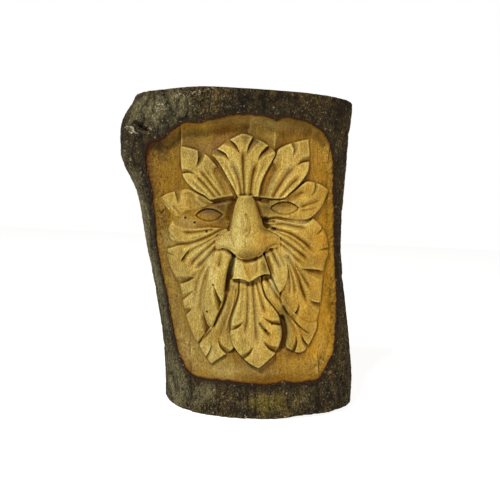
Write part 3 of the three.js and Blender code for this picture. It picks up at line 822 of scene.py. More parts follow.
def carveField():  # the carved field as tables over its grid
    columns = np.arange(slab["left"], slab["right"], slab["step"])
    across, up = np.meshgrid(columns, np.arange(slab["low"], slab["high"], slab["step"]))
    inRim = rimDistance(across, up)
    height, below, facetLight = carveGround(across, up, inRim)
    onLeaf, shade = np.zeros(across.shape), np.zeros(across.shape)
    middle = fromPhoto(leafCut["softCentre"], leafCut["softLift"])[0][0]
    outward = rising(np.abs(across - middle), *leafCut["softSpan"])
    for leaf in leaves.values():
        inside, top, cutShade = carveLeaf(across, up, leaf)
        soft = leaf.get("softEdge", 0) * outward
        height -= leafCut["stopCut"] / (1 + 2 * soft) * hump(inside, *leafCut["stopCutAt"])
        cover = smooth((inside + soft / 2) / (leafCut["edgeRamp"] + soft))
        shade = shade * (1 - cover) + cutShade * cover
        height = np.maximum(height, height * (1 - cover) + top * cover)
        onLeaf = np.maximum(onLeaf, cover)
    height, onLeaf = carveFeatures(across, up, height, onLeaf)
    depth, size, seed = leafCut["flats"]
    height += depth * softNoise(across, up * leafCut["flatsStretch"], size, seed)
    dive, reach = field["lipDive"]
    outside = below - field["lip"] - dive * smooth(-inRim / reach)
    height = np.where(inRim < 0, outside, np.minimum(height, below))
    return across, up, height, onLeaf, inRim, facetLight, shade


def carveEye(across, up, corners, height):  # an almond between two arcs, sunk under its upper lid
    left, top, right, foot = fromPhoto(corners, eyes["lift"])
    way = right - left
    length = np.hypot(*way)
    along = ((across - left[0]) * way[0] + (up - left[1]) * way[1]) / length ** 2
    off = ((up - left[1]) * way[0] - (across - left[0]) * way[1]) / length
    upper, lower = [((spot[1] - left[1]) * way[0] - (spot[0] - left[0]) * way[1]) / length
                    for spot in (top, foot)]
    arch = np.clip(4 * along * (1 - along), 0, 1) ** eyes["archPower"]
    lens = np.minimum(upper * arch - off, off - lower * arch)
    past = np.maximum(np.maximum(-along, along - 1), 0) * length
    lens = np.where(past > 0, -np.hypot(past, off), lens)
    ball = eyes["ball"] * np.sqrt(np.clip(lens / ((upper - lower) / 2), 0, 1))
    low, high = eyes["sink"]
    sunk = height - low - (high - low) * smooth((off - lower) / (upper - lower)) + ball
    height = np.where(lens > 0, sunk, height)
    depth, width = eyes["lidGroove"]
    return height - depth * hump(lens, 0, width)


def sinkHollows(across, up, height, strokes):
    share, least = hollows["endFade"]
    for spots, width, depth in strokes:
        near, away, side, along = alongLine(across, up, fromPhoto(spots, hollows["lift"]), 4 * width)
        ends = smooth(along / share + least) * smooth((1 - along) / share + least)
        lower = height[near] - depth * ends * np.exp(-(away / width) ** 2)
        height[near] = np.minimum(height[near], np.maximum(lower, hollows["lowest"]))


def carveLip(across, up):
    inside = insideDistance(across, up, fromPhoto(upperLip["outline"], upperLip["lift"]))
    top = np.full(across.shape, upperLip["rise"])
    between = np.full(across.shape, np.inf)
    for spots, fall, inner in upperLip["ridges"]:
        ridge = fromPhoto(spots, upperLip["lift"])
        near, away, side = alongLine(across, up, ridge, upperLip["ridgeReach"])[:3]
        top[near] -= np.where(side == inner, 0, fall * away)
        between[near] = np.minimum(between[near], np.where(side == inner, away, 0))
    depth, reach = upperLip["scoop"]
    top -= depth * smooth(np.where(np.isinf(between), 0, between) / reach)
    drop, reach = upperLip["edgeRound"]
    return inside, top - drop * fading(inside, reach)


def carveNose(across, up):  # a rounded ridge that widens to the tip, and a wing at each side
    spots = fromPhoto([(nose["column"], row) for row in nose["rows"]], nose["rowLift"])
    brow, tip, foot = spots[:, 1]
    inside = insideDistance(across, up, fromPhoto(nose["outline"], nose["outlineLift"]))
    axis = fromPhoto(nose["axis"], nose["axisLift"])
    near, away = alongLine(across, up, axis, nose["axisReach"])[:2]
    middle = np.full(across.shape, 99.0)  # far off, unless near the axis
    middle[near] = away
    down = np.clip((brow - up) / (brow - tip), 0, nose["pastTip"])
    ridge = nose["bridgeRise"] + (nose["tipRise"] - nose["bridgeRise"]) * smooth(down)
    widen = np.minimum(down, 1) ** nose["widenPower"]
    half = nose["bridgeHalf"] + (nose["tipHalf"] - nose["bridgeHalf"]) * widen
    under = np.clip((tip - up) / (tip - foot), 0, 1)
    ridge = ridge * (1 - nose["underCut"] * under ** nose["underPower"])
    flat, full = nose["roundPowers"]
    body = ridge * np.clip(1 - (middle / half) ** flat, 0, 1) ** full
    wing = nose["wingRise"] - nose["wingFall"] * rising(middle, *nose["wingSpan"]) - nose["wingUnder"] * under
    start, reach = nose["wingStart"]
    wing = nose["wingLeast"] + (wing - nose["wingLeast"]) * smooth((tip + start - up) / reach)
    top = np.logaddexp(body * nose["blend"], wing * nose["blend"]) / nose["blend"]
    drop, reach = nose["edgeRound"]
    return inside, np.minimum(top - drop * fading(inside, reach), nose["mostRise"])


def carveFeatures(across, up, height, onLeaf):
    sinkHollows(across, up, height, hollows["first"])
    for corners in eyes["corners"]:
        height = carveEye(across, up, corners, height)
    inside, top = carveLip(across, up)
    cover = smooth(inside)
    height = height * (1 - cover) + top * cover
    onLeaf = np.maximum(onLeaf, cover)
    sinkHollows(across, up, height, hollows["underNose"])
    inside, top = carveNose(across, up)
    cover = smooth(inside)
    height -= nose["stopCut"] * hump(inside, *nose["stopCutAt"])
    height = height * (1 - cover) + top * cover
    onLeaf = np.maximum(onLeaf, cover)
    sinkHollows(across, up, height, nose["creases"])
    for x, y in fromPhoto(hollows["wormHoles"], hollows["wormLift"]):
        hole = smooth(hollows["wormHalf"] - np.hypot(across - x, up - y))
        height = height - hollows["wormDepth"] * hole
    return height, onLeaf


def addValue(piece, name, values):  # a value for each vertex, read by the material
    made = piece.data.attributes.new(name, "FLOAT", "POINT")
    made.data.foreach_set("value", np.ascontiguousarray(values, np.float32))


def readValue(piece, name):
    values = np.empty(len(piece.data.vertices), np.float32)
    piece.data.attributes[name].data.foreach_get("value", values)
    return values


def readPlaces(piece):
    places = np.empty(len(piece.data.vertices) * 3)
    piece.data.vertices.foreach_get("co", places)
    return places.reshape(-1, 3)


def setPlaces(piece, places):
    piece.data.vertices.foreach_set("co", places.ravel())
    piece.data.update()


def gridSheet(name, across, up, places):  # a sheet of quads, one vertex for each place of the tables
    rows, columns = across.shape
    bpy.ops.object.select_all(action="DESELECT")
    bpy.ops.mesh.primitive_grid_add(x_subdivisions=columns - 1, y_subdivisions=rows - 1, size=2)
    sheet = bpy.context.object
    sheet.name = name
    sheet.data.name = name
    flat = readPlaces(sheet)
    column = np.rint((flat[:, 0] + 1) / 2 * (columns - 1)).astype(int)
    row = np.rint((flat[:, 1] + 1) / 2 * (rows - 1)).astype(int)
    setPlaces(sheet, places[row, column])
    addValue(sheet, "across", across[row, column])
    addValue(sheet, "up", up[row, column])
    return sheet


def closeBehind(sheet, place):  # the sheet's edge is drawn back and its back filled
    bpy.ops.object.mode_set(mode="EDIT")
    bpy.ops.mesh.select_mode(type="EDGE")
    bpy.ops.mesh.select_all(action="DESELECT")
    bpy.ops.mesh.select_non_manifold(extend=False, use_boundary=True)
    bpy.ops.mesh.extrude_edges_move()
    bpy.ops.object.mode_set(mode="OBJECT")
    places = readPlaces(sheet)
    picked = np.empty(len(places), bool)
    sheet.data.vertices.foreach_get("select", picked)
    places[picked] = place(readValue(sheet, "across")[picked], readValue(sheet, "up")[picked])
    setPlaces(sheet, places)
    bpy.ops.object.mode_set(mode="EDIT")
    bpy.ops.mesh.edge_face_add()
    bpy.ops.mesh.select_all(action="SELECT")
    bpy.ops.mesh.quads_convert_to_tris(quad_method="SHORTEST_DIAGONAL", ngon_method="BEAUTY")
    bpy.ops.object.mode_set(mode="OBJECT")


def thin(piece, faces):  # fewer triangles where the form is flat
    count = len(piece.data.polygons)
    if count > faces:
        bpy.ops.object.modifier_add(type="DECIMATE")
        piece.modifiers["Decimate"].ratio = faces / count
        bpy.ops.object.modifier_apply(modifier="Decimate")


def keepInside(piece):  # thinning may push a corner out by a hair
    places = readPlaces(piece)
    places[:, 1] = np.minimum(places[:, 1], logForm["back"] * mm)
    places[:, 2] = np.clip(places[:, 2], 0, logForm["height"] * mm)
    setPlaces(piece, places)


def readTable(table, across, up):  # the value of a table of the carved field at any place
    x = np.clip((across - slab["left"]) / slab["step"], 0, table.shape[1] - 1.001)
    y = np.clip((up - slab["low"]) / slab["step"], 0, table.shape[0] - 1.001)
    column, row = x.astype(int), y.astype(int)
    x, y = x - column, y - row
    return ((table[row, column] * (1 - x) + table[row, column + 1] * x) * (1 - y)
            + (table[row + 1, column] * (1 - x) + table[row + 1, column + 1] * x) * y)


def waxShadeAndHighlightAt(x, y, inRim, shade):  # typed spots of dark wax, painted shade and painted highlights, rings on the nose, painted shade in the knife cuts, and a darker band along the left rim
    centre = fromPhoto(growthRings["place"], growthRings["lift"])[0]
    away = np.hypot((x - centre[0]) / growthRings["half"][0], (y - centre[1]) / growthRings["half"][1])
    rings = sum(hump(away, radius, growthRings["width"]) for radius in growthRings["radii"])
    low, high = field["leftRimDark"]
    leftEdge = ((low + (high - low) * rising(y, *field["leftRimDarkClimb"]))
                * fading(inRim, field["leftRimDarkWidth"]) * rising(-x, *field["leftRimDarkSpan"]))
    return spotsAt(waxShadeAndHighlightSpots, x, y, slab["spotLift"]) + growthRings["amount"] * rings + shade + leftEdge


def makeCarvedFace():
    across, up, height, onLeaf, inRim, facetLight, shade = carveField()
    piece = gridSheet("carved_leaf_face", across, up, facePlace(across, up, groundDepth(across) + height))

    def behind(x, y):
        return facePlace(x, y, groundDepth(x) - slab["thick"])
    closeBehind(piece, behind)
    thin(piece, slab["faces"])
    x, y = faceUnits(readPlaces(piece))
    perMm = 1 / slab["step"]
    # how far each place lies below its blurred surroundings: the finish paints shade and dark wax in the
    # hollows and highlights on the raised parts
    for name, reach in slab["cavities"].items():
        addValue(piece, name, readTable(blurred(height, reach * perMm) - height, x, y))
    # the last of these is the painted light and shade of the gouge facets
    for name, table in (("onLeaf", onLeaf), ("inRim", inRim), ("paintedFacetLight", facetLight)):
        addValue(piece, name, readTable(table, x, y))
    # dark wax with painted shade, and painted highlights
    addValue(piece, "waxShadeAndHighlight", waxShadeAndHighlightAt(x, y, readTable(inRim, x, y), readTable(shade, x, y)))
    # golden wax, and painted warm light and shade in gold
    addValue(piece, "amberAndPaintedLight", spotsAt(amberAndPaintedLightSpots, x, y, slab["spotLift"]))
    addValue(piece, "dirt", spotsAt(dirtSpots, x, y, slab["spotLift"]))
    bpy.ops.object.shade_smooth_by_angle(angle=math.radians(slab["smoothAngle"]))
    print("carved face", len(piece.data.polygons), "faces")
    return piece


# The bark: lumps, furrows down the log and grains, all cut inwards from the log's form (depth, size, stretch,
# seed), and spots typed as for the wax
bark = {
    "columns": 400,
    "rows": 440,
    "girth": 92,
    "lump": (1.6, 24, 0.8, 21),
    "furrow": (1.2, 7, 0.35, 22),
    "furrowWander": (2, 15, 4),
    "furrowPower": 4,
    "grain": (0.7, 2.6, 1, 23),
    "fine": (0.35, 1.3, 1, 24),
    "rimCalm": (0.35, 4),
    "flankCalm": 0.2,
    "flankSpan": (84, 12),
    "rimSnap": 0.55,  # places this near the rim are drawn onto it
    "probe": 0.1,
    "sink": 4,
    "backInset": 0.012,
    "faces": 196000,
    "smoothAngle": 45,
    # knots: place, half size, depth
    "knots": [
        (141.6, 122, 1.5, 3.0), (144.2, 124.6, 1.9, 4.0), (147.4, 127.8, 1.8, 3.5), (128, 119, 2.2, 1.6),
        (179, 133.5, 2.0, 2.2)],
    "knotRim": (0.7, 1.7, 0.6),
    "spotLift": 13,
    "lichenEverywhere": 0.05,
    "lichen": [
        (160, 105, 26, 18, 1.0), (172, 118, 18, 9, 0.8), (335, 388, 14, 12, 0.3), (176, 98, 12, 8, 0.4),
        (130, 190, 18, 44, 1.1), (154, 290, 18, 70, 1.2), (175, 385, 22, 24, 0.8), (215, 400, 20, 14, 0.3),
        (290, 98, 60, 14, -0.4), (346, 250, 14, 120, -0.4), (128, 127, 9, 11, -0.8)],
    "moss": [
        (268, 403, 22, 12, 0.9), (262, 92, 14, 5, 0.5), (300, 395, 14, 12, 0.3), (320, 100, 20, 8, 0.2)],
    # dark bark, and painted shadow under the rim at the foot
    "darkBarkAndShadow": [
        (127, 127, 7, 8, 0.7), (133, 103, 5, 8, 0.5), (131, 138, 12, 20, 1.0), (262, 389, 46, 5, 0.7),
        (240, 411, 14, 8, 0.7), (345, 210, 10, 60, 0.3), (270, 108, 46, 9, 0.5), (347, 106, 8, 12, 0.5),
        (325, 118, 12, 10, 0.4), (322, 400, 20, 10, 0.3)],
    "chips": [
        (139.6, 129, 1.8, 3.2, 0.9), (141, 132, 1.6, 2, 0.6), (196, 92, 5, 3, 0.35), (178, 95, 4, 3, 0.4),
        (160, 106, 8, 4, 0.3), (217, 378, 6, 2, 0.4), (283, 381, 8, 2, 0.5), (245, 416, 3, 2, 0.5)],
    "chipNoise": (0.8, 1.1, 41),
    "chipLess": 0.1,
    "scars": [
        (129, 116.5, 1.6, 3.2, 0.7), (330, 373, 3.0, 2.0, 0.6)],
    "endSlack": 0.5,
    "endFacing": 0.9,
    "backFacing": 0.95,
}


def wornEnds(places, across, up):  # rounded corners, and a top that drops at the left
    for radius, toEnd in zip(logForm["cornerRound"], (logForm["height"] - up, up)):
        bite = radius - np.sqrt(radius ** 2 - np.clip(radius - toEnd, 0, radius) ** 2)
        places[..., 0] -= bite * (across / 100) ** logForm["cornerPower"] * mm
    crownDrop = logForm["cornerWear"] * rising(-across, *logForm["wearSpan"])
    places[..., 2] *= 1 - crownDrop / logForm["height"]
    return places


def snapToRim(across, up, inRim):  # places of the sheet close by the rim are drawn onto it
    snap = np.abs(inRim) < bark["rimSnap"]
    slopeX = rimDistance(across[snap] + bark["probe"], up[snap]) - inRim[snap]
    slopeY = rimDistance(across[snap], up[snap] + bark["probe"]) - inRim[snap]
    size = np.hypot(slopeX, slopeY) + 1e-9
    across[snap] -= inRim[snap] * slopeX / size
    up[snap] -= inRim[snap] * slopeY / size


def lumpy(around, up, depth, size, stretch, seed):
    return depth * (0.5 + 0.5 * softNoise(around, up * stretch, size, seed))


def barkRough(across, around, up):  # millimetres cut in from the log's form
    depth, size, stretch, seed = bark["furrow"]
    wander, wanderSize, wanderSeed = bark["furrowWander"]
    askew = around + wander * softNoise(around, up, wanderSize, wanderSeed)
    furrow = depth * (1 - np.abs(softNoise(askew, up * stretch, size, seed))) ** bark["furrowPower"]
    rough = lumpy(around, up, *bark["lump"]) + furrow
    rough = rough + lumpy(around, up, *bark["grain"]) + lumpy(around, up, *bark["fine"])
    height, middle, width = bark["knotRim"]
    for right, down, wide, deep in bark["knots"]:
        x, y = fromPhoto((right, down), bark["spotLift"])[0]
        away = np.hypot(across - x, up - y) / wide
        rough = rough + deep * np.exp(-away ** 2) - height * hump(away, middle, width)
    return np.maximum(rough, 0)


def readRough(rough, across, up):
    column = (np.arcsin(np.clip(across / 100, -1, 1)) / math.pi + 0.5) * (bark["columns"] - 1)
    row = np.clip(up / logForm["height"], 0, 1) * (bark["rows"] - 1)
    return rough[np.rint(row).astype(int), np.rint(column).astype(int)]


def makeBarkLog():
    turn = np.linspace(-math.pi / 2, math.pi / 2, bark["columns"])
    turn, up = np.meshgrid(turn, np.linspace(0, logForm["height"], bark["rows"]))
    across, around = 100 * np.sin(turn), bark["girth"] * turn
    even = facePlace(across, up, barkDepth(across))
    outward = np.cross(np.gradient(even, axis=1), np.gradient(even, axis=0))
    outward /= np.linalg.norm(outward, axis=2, keepdims=True)
    inRim = rimDistance(across, up)
    snapToRim(across, up, inRim)
    rough = barkRough(across, around, up)
    least, reach = bark["rimCalm"]
    edge = least + (1 - least) * smooth(-inRim / reach)
    edge = edge * (1 - bark["flankCalm"] * rising(np.abs(across), *bark["flankSpan"]))
    places = facePlace(across, up, barkDepth(across)) - outward * (rough * edge)[..., None] * mm
    inside = inRim >= bark["rimSnap"]
    places[inside] = facePlace(across, up, groundDepth(across) - bark["sink"])[inside]
    places = wornEnds(places, across, up)
    footWorn = logForm["footWear"] * rising(across, *logForm["footSpan"])
    places[..., 2] += footWorn * np.clip(1 - up / logForm["footReach"], 0, 1) * mm
    places[..., 2] = np.clip(places[..., 2], 0, logForm["height"] * mm)
    piece = gridSheet("half_log_with_bark", across, up, places)

    def behind(x, y):  # an even outline, a hair inside the rough bark
        return wornEnds(facePlace(x * (1 - bark["backInset"]), y, np.zeros(x.shape)), x, y)
    closeBehind(piece, behind)
    thin(piece, bark["faces"])
    keepInside(piece)
    x, y = faceUnits(readPlaces(piece))
    lichen, moss, darkBarkAndShadow, chips, scars = [spotsAt(bark[name], x, y, bark["spotLift"])
                                        for name in ("lichen", "moss", "darkBarkAndShadow", "chips", "scars")]
    amount, size, seed = bark["chipNoise"]
    addValue(piece, "inRim", rimDistance(x, y))
    addValue(piece, "crevice", readRough(rough, x, y))
    addValue(piece, "lichen", bark["lichenEverywhere"] + lichen)
    addValue(piece, "moss", moss)
    addValue(piece, "darkBarkAndShadow", darkBarkAndShadow)
    addValue(piece, "chip", chips + amount * softNoise(x, y, size, seed) - bark["chipLess"])
    addValue(piece, "scar", scars)
    bpy.ops.object.shade_smooth_by_angle(angle=math.radians(bark["smoothAngle"]))
    print("bark log", len(piece.data.polygons), "faces")
    return piece


def colour(red, green, blue):  # typed as it looks on a screen, 0 to 255
    linear = [(c / 255 / 12.92) if c < 10.3 else ((c / 255 + 0.055) / 1.055) ** 2.4
              for c in (red, green, blue)]
    return (*linear, 1)


def addNode(tree, kind, settings=None, inputs=None):
    made = tree.nodes.new(kind)
    for name, value in (settings or {}).items():
        setattr(made, name, value)
    for name, value in (inputs or {}).items():
        if isinstance(value, bpy.types.NodeSocket):
            tree.links.new(value, made.inputs[name])
        else:
            made.inputs[name].default_value = value
    return made


def mixed(tree, amount, first, second, blend="MIX"):
    made = addNode(tree, "ShaderNodeMix", {"data_type": "RGBA", "blend_type": blend, "clamp_factor": True},
                   {0: amount, 6: first, 7: second})
    return made.outputs[2]


def ranged(tree, value, low, high, toLow=0.0, toHigh=1.0):
    made = addNode(tree, "ShaderNodeMapRange", {"clamp": True},
                   {"Value": value, "From Min": low, "From Max": high, "To Min": toLow, "To Max": toHigh})
    return made.outputs[0]


def worked(tree, how, *values):
    return addNode(tree, "ShaderNodeMath", {"operation": how}, dict(enumerate(values))).outputs[0]


def grainy(tree, scale, stretch, detail, roughness, twist=0.0):
    place = addNode(tree, "ShaderNodeTexCoord").outputs["Object"]
    mapping = addNode(tree, "ShaderNodeMapping", None, {"Vector": place, "Scale": stretch})
    noise = addNode(tree, "ShaderNodeTexNoise", None, {"Vector": mapping.outputs[0], "Scale": scale,
                    "Detail": detail, "Roughness": roughness, "Distortion": twist})
    return noise.outputs["Fac"]


def startMaterial(name, looks):  # with the noises and vertex values that drive its colours, by name
    material = bpy.data.materials.new(name)
    material.use_nodes = True
    tree = material.node_tree
    shader = tree.nodes["Principled BSDF"]
    shader.inputs["Roughness"].default_value = looks["rough"]
    shader.inputs["Specular IOR Level"].default_value = looks["shine"]
    drives = {key: grainy(tree, *values) for key, values in looks.get("grains", {}).items()}
    for key in looks.get("reads", ()):
        drives[key] = addNode(tree, "ShaderNodeAttribute", {"attribute_name": key}).outputs["Fac"]
    for key, (first, times, second) in looks.get("sums", {}).items():  # first x times + second
        drives[key] = worked(tree, "MULTIPLY_ADD", drives[first], times, drives.get(second, second))
    return material, tree, shader, drives


def layered(tree, base, drives, layers):  # each row: drive, none at, full at, most, colour, mask
    for drive, none, full, most, tint, *masks in layers:
        amount = ranged(tree, drives[drive], none, full, 0, most)
        for mask in masks:
            amount = worked(tree, "MULTIPLY", amount, drives[mask])
        base = mixed(tree, amount, base, colour(*tint))
    return base


def finish(tree, shader, drives, base, bumps):  # each bump: drive, strength, distance
    tree.links.new(base, shader.inputs["Base Color"])
    inputs = {}
    for drive, strength, distance in bumps:
        inputs.update({"Strength": strength, "Distance": distance, "Height": drives[drive]})
        inputs["Normal"] = addNode(tree, "ShaderNodeBump", None, inputs).outputs[0]
    tree.links.new(inputs["Normal"], shader.inputs["Normal"])


# Grains are noises: scale, stretch, detail, roughness and, for some, twist. Sums are a drive times a number,
# and another drive or number added
waxedWood = {
    "rough": 0.5,
    "shine": 0.1,
    "grains": {"streaks": (520, (1, 1, 0.14), 4, 0.65, 0.2),
               "broad": (30, (1, 1, 0.5), 4, 0.6, 0.4),
               "specks": (430, (1, 1, 0.6), 4, 0.75),
               "flecks": (1000, (1, 1, 0.6), 3, 0.7),
               "scratches": (330, (1, 1, 0.16), 4, 0.7, 0.6),
               "middling": (110, (1, 1, 0.5), 4, 0.65, 0.3)},
    "reads": ("onLeaf", "paintedFacetLight", "amberAndPaintedLight", "inRim", "wideCavity", "fineCavity", "waxShadeAndHighlight", "dirt"),
    "sums": {"bare": ("onLeaf", -0.85, 1.0), "dirtiness": ("dirt", 0.2, "specks")},
    "calmRim": (8, 26, 8, 1),  # the cove is a hollow too, and counts less
    "innerFrom": (6.0, 14.0),
    "pale": [(126, 103, 44), ("streaks", 0.36, 0.66, 1, (154, 132, 73)),
             ("broad", 0.38, 0.66, 0.5, (138, 104, 32))],
    "ground": [(99, 74, 22), ("streaks", 0.36, 0.66, 1, (130, 105, 42)),
               ("broad", 0.36, 0.68, 0.65, (104, 70, 10)),
               # painted light and painted shade on the gouge facets, one amount per facet
               ("paintedFacetLight", 0, 1, 1, (150, 126, 62)), ("paintedFacetLight", 0, -1, 1, (100, 66, 10))],
    # golden wax, and painted warm light on the right side and the nose's shaded side
    "layers": [("amberAndPaintedLight", 0, 1, 0.6, (166, 122, 24)),
               # painted highlight on the raised forms
               ("hollow", -0.1, -1.8, 0.45, (170, 152, 82)),
               # painted shade and dark wax in the hollows, darker the deeper they are
               ("hollow", 0.0, 1.1, 0.6, (118, 80, 12)),
               ("hollow", 0.7, 2.4, 0.7, (70, 40, 3)),
               ("fineCavity", 0.08, 0.8, 0.45, (64, 38, 4)),
               # dark wax and painted shade, then painted highlights and wax rubbed thin
               ("waxShadeAndHighlight", 0, 1, 0.9, (58, 35, 0)),
               ("waxShadeAndHighlight", 0, -1, 0.7, (184, 170, 112)),
               # painted highlight along raised edges, away from the rim
               ("fineCavity", -0.08, -0.7, 0.3, (190, 172, 104), "inner")],
    "tints": [("flecks", 0.36, 0.66, (0.58, 0.55, 0.46, 1), (1.36, 1.38, 1.36, 1)),
              ("middling", 0.34, 0.66, (0.82, 0.8, 0.7, 1), (1.12, 1.14, 1.14, 1))],
    "wear": [("scratches", 0.57, 0.66, 0.55, (74, 42, 6), "bare"),
             ("dirtiness", 0.6, 0.72, 0.75, (48, 30, 8)),
             ("inRim", 3.4, 0.6, 0.42, (94, 54, 10)),
             ("inRim", 1.6, 0.0, 1, (60, 28, 5))],
    "bumps": [("streaks", 0.3, 0.0006), ("flecks", 0.25, 0.0006)],
}

roughBark = {
    "rough": 0.95,
    "shine": 0.12,
    "grains": {"mottle": (90, (1, 1, 0.5), 6, 0.72, 0.6),
               "patches": (34, (1, 1, 0.8), 5, 0.7, 0.8),
               "grit": (480, (1, 1, 0.6), 4, 0.72),
               "fine": (950, (1, 1, 0.8), 3, 0.7)},
    "reads": ("lichen", "moss", "darkBarkAndShadow", "crevice", "inRim", "scar", "chip"),
    "sums": {"spread": ("lichen", 0.3, "patches"), "mossy": ("moss", 0.3, "mottle"),
             "speckled": ("lichen", 0.4, 0.3)},
    "layers": [(18, 12, 4), ("mottle", 0.38, 0.64, 1, (58, 44, 20)),
               ("spread", 0.6, 0.8, 0.8, (100, 94, 66)),
               ("mossy", 0.6, 0.85, 0.8, (98, 86, 26)),
               ("grit", 0.53, 0.64, 0.45, (106, 92, 52)),
               ("fine", 0.55, 0.64, 1, (164, 152, 112), "speckled"),
               # dark bark, and painted shadow under the rim at the foot
               ("darkBarkAndShadow", 0, 1, 0.7, (20, 18, 18)),
               ("grit", 0.47, 0.38, 0.8, (14, 10, 6)),
               ("fine", 0.45, 0.36, 0.6, (16, 12, 7)),
               # darker the deeper the bark is cut in
               ("crevice", 1.5, 3.0, 0.9, (12, 9, 5)),
               ("inRim", -7, -1.5, 0.65, (24, 17, 9)),
               ("inRim", -1.4, -0.3, 0.8, (40, 20, 7)),
               ("scar", 0.2, 1.0, 0.85, (150, 112, 48)),
               ("chip", 0.4, 0.8, 0.85, (158, 148, 122))],
    "bumps": [("grit", 0.9, 0.0014), ("mottle", 0.7, 0.003)],
}

sawnEnd = {
    "rough": 0.8,
    "shine": 0.5,
    "grains": {"saw": (200, (0.15, 1, 1), 3, 0.6), "worn": (30, (1, 1, 1), 4, 0.6)},
    "heart": (0.02, -0.04, 0),
    "rings": {"Scale": 70.0, "Distortion": 3.5, "Detail": 3.0, "Detail Scale": 0.5, "Detail Roughness": 0.4},
    "layers": [(142, 109, 66), ("rings", 0.2, 1, 0.45, (100, 73, 40)),
               ("worn", 0.38, 0.66, 0.6, (112, 92, 66)),
               ("saw", 0.4, 0.7, 0.5, (84, 62, 38))],
    "bumps": [("saw", 0.5, 0.0008)],
}

splitBack = {
    "rough": 0.85,
    "shine": 0.5,
    "grains": {"fibres": (170, (1, 1, 0.04), 5, 0.6, 0.3), "broad": (14, (1, 1, 0.3), 3, 0.5)},
    "layers": [(112, 82, 48), ("fibres", 0.35, 0.68, 1, (168, 130, 82)),
               ("broad", 0.4, 0.7, 0.5, (104, 80, 54))],
    "bumps": [("fibres", 0.5, 0.001)],
}


def makeWaxedWood():
    looks = waxedWood
    material, tree, shader, drives = startMaterial("waxed_carved_wood", looks)
    nearRim = ranged(tree, drives["inRim"], *looks["calmRim"])
    drives["hollow"] = worked(tree, "DIVIDE", drives["wideCavity"], nearRim)
    drives["inner"] = ranged(tree, drives["inRim"], *looks["innerFrom"])
    pale, ground = [layered(tree, colour(*first), drives, rest)
                    for first, *rest in (looks["pale"], looks["ground"])]
    base = layered(tree, mixed(tree, drives["onLeaf"], ground, pale), drives, looks["layers"])
    for drive, low, high, dark, bright in looks["tints"]:
        tint = mixed(tree, ranged(tree, drives[drive], low, high), dark, bright)
        base = mixed(tree, 1.0, base, tint, "MULTIPLY")
    base = layered(tree, base, drives, looks["wear"])
    finish(tree, shader, drives, base, looks["bumps"])
    return material


def makeLogFinish(name, looks):
    material, tree, shader, drives = startMaterial(name, looks)
    if "rings" in looks:  # growth rings about the heart
        place = addNode(tree, "ShaderNodeTexCoord").outputs["Object"]
        centred = addNode(tree, "ShaderNodeMapping", None,
                          {"Vector": place, "Location": looks["heart"], "Scale": (1, 1, 0)})
        rings = addNode(tree, "ShaderNodeTexWave", {"wave_type": "RINGS", "rings_direction": "Z"},
                        {"Vector": centred.outputs[0], **looks["rings"]})
        drives["rings"] = rings.outputs["Fac"]
    first, *rest = looks["layers"]
    finish(tree, shader, drives, layered(tree, colour(*first), drives, rest), looks["bumps"])
    return material


def paintLog(piece):  # bark all over, sawn ends and a split back
    finishes = {"rough_bark": roughBark, "sawn_end_grain": sawnEnd, "plain_split_back": splitBack}
    for name, looks in finishes.items():
        piece.data.materials.append(makeLogFinish(name, looks))
    count = len(piece.data.polygons)
    normals, centres = np.empty(count * 3), np.empty(count * 3)
    piece.data.polygons.foreach_get("normal", normals)
    piece.data.polygons.foreach_get("center", centres)
    normals, centres = normals.reshape(-1, 3), centres.reshape(-1, 3)
    which = np.zeros(count, int)
    crownFrom = (logForm["height"] - logForm["cornerWear"] - bark["endSlack"]) * mm
    atEnd = (centres[:, 2] < bark["endSlack"] * mm) | (centres[:, 2] > crownFrom)
    which[atEnd & (np.abs(normals[:, 2]) > bark["endFacing"])] = 1
    which[normals[:, 1] > bark["backFacing"]] = 2
    piece.data.polygons.foreach_set("material_index", which)


# The room: a white wall and floor, a key light at the upper left, a warm one at the right
studio = {
    "floorSize": 6,
    "floorDrop": 0.0005,
    "floorTone": (150, 150, 150),
    "floorGlow": 0.9,
    "roomLight": 0.1,
    "aim": (-0.02, 0, 0.15),
    "key": {"place": (-0.78, -1.75, 1.8), "size": 0.45, "watts": 92, "tint": (1, 0.99, 0.95)},
    "warm": {"place": (1.9, -1.0, 0.6), "size": 0.9, "watts": 26, "tint": (1, 0.8, 0.5)},
}


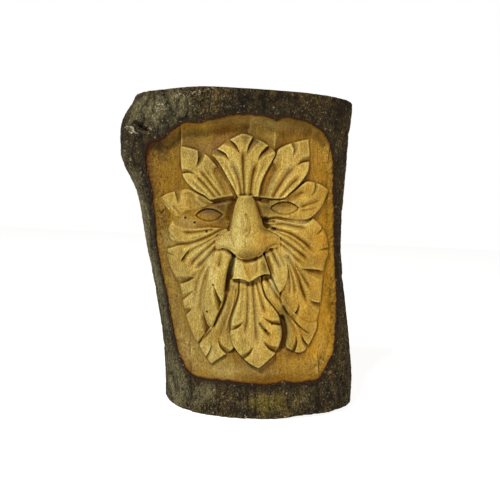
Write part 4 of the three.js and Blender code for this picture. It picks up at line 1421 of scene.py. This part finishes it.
def setStage():
    bpy.ops.object.select_all(action="DESELECT")
    bpy.ops.mesh.primitive_plane_add(size=studio["floorSize"], location=(0, 0, -studio["floorDrop"]))
    floor = bpy.context.object
    floor.name = "pale_floor"
    material, tree, shader, drives = startMaterial("pale_floor", {"rough": 0.9, "shine": 0.5})
    shader.inputs["Base Color"].default_value = colour(*studio["floorTone"])
    shader.inputs["Emission Color"].default_value = (1, 1, 1, 1)
    shader.inputs["Emission Strength"].default_value = studio["floorGlow"]
    floor.data.materials.append(material)
    world = bpy.data.worlds.new("pale_room")
    bpy.context.scene.world = world
    world.use_nodes = True
    tree = world.node_tree
    seen = addNode(tree, "ShaderNodeLightPath").outputs["Is Camera Ray"]
    glow = ranged(tree, seen, 0, 1, studio["roomLight"], 1)  # white behind the log, dim on it
    tree.links.new(glow, tree.nodes["Background"].inputs["Strength"])
    tree.nodes["Background"].inputs["Color"].default_value = (1, 1, 1, 1)
    bpy.context.scene.view_settings.view_transform = "Standard"


def addLight(name, settings):
    data = bpy.data.lights.new(name, "AREA")
    data.size = settings["size"]
    data.energy = settings["watts"]
    data.color = settings["tint"]
    lamp = bpy.data.objects.new(name, data)
    bpy.context.collection.objects.link(lamp)
    lamp.location = settings["place"]
    lamp.rotation_euler = (lamp.location - Vector(studio["aim"])).to_track_quat("Z", "Y").to_euler()


def setCamera():
    data = bpy.data.cameras.new("photo_view")
    data.lens = photoView["lens"]
    data.sensor_width = photoView["sensor"]
    camera = bpy.data.objects.new("photo_view", data)
    bpy.context.collection.objects.link(camera)
    place = (photoView["across"], logForm["back"] - photoView["away"], photoView["up"])
    turn = Matrix.Rotation(math.radians(90 - photoView["pitch"]), 4, "X")
    turn = turn @ Matrix.Rotation(math.radians(photoView["roll"]), 4, "Z")
    camera.matrix_world = Matrix.Translation([v * mm for v in place]) @ turn
    bpy.context.scene.camera = camera


rimLine = fromPhoto(field["rim"], field["rimLift"])
setStage()
for name in ("key", "warm"):
    addLight(name + "_light", studio[name])
setCamera()
print("stage, lights and camera set")
logPiece = makeBarkLog()
paintLog(logPiece)
facePiece = makeCarvedFace()
facePiece.data.materials.append(makeWaxedWood())
print("finishes laid on")
for piece in (logPiece, facePiece):
    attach(piece, "root")
    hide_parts("carved_half_log")
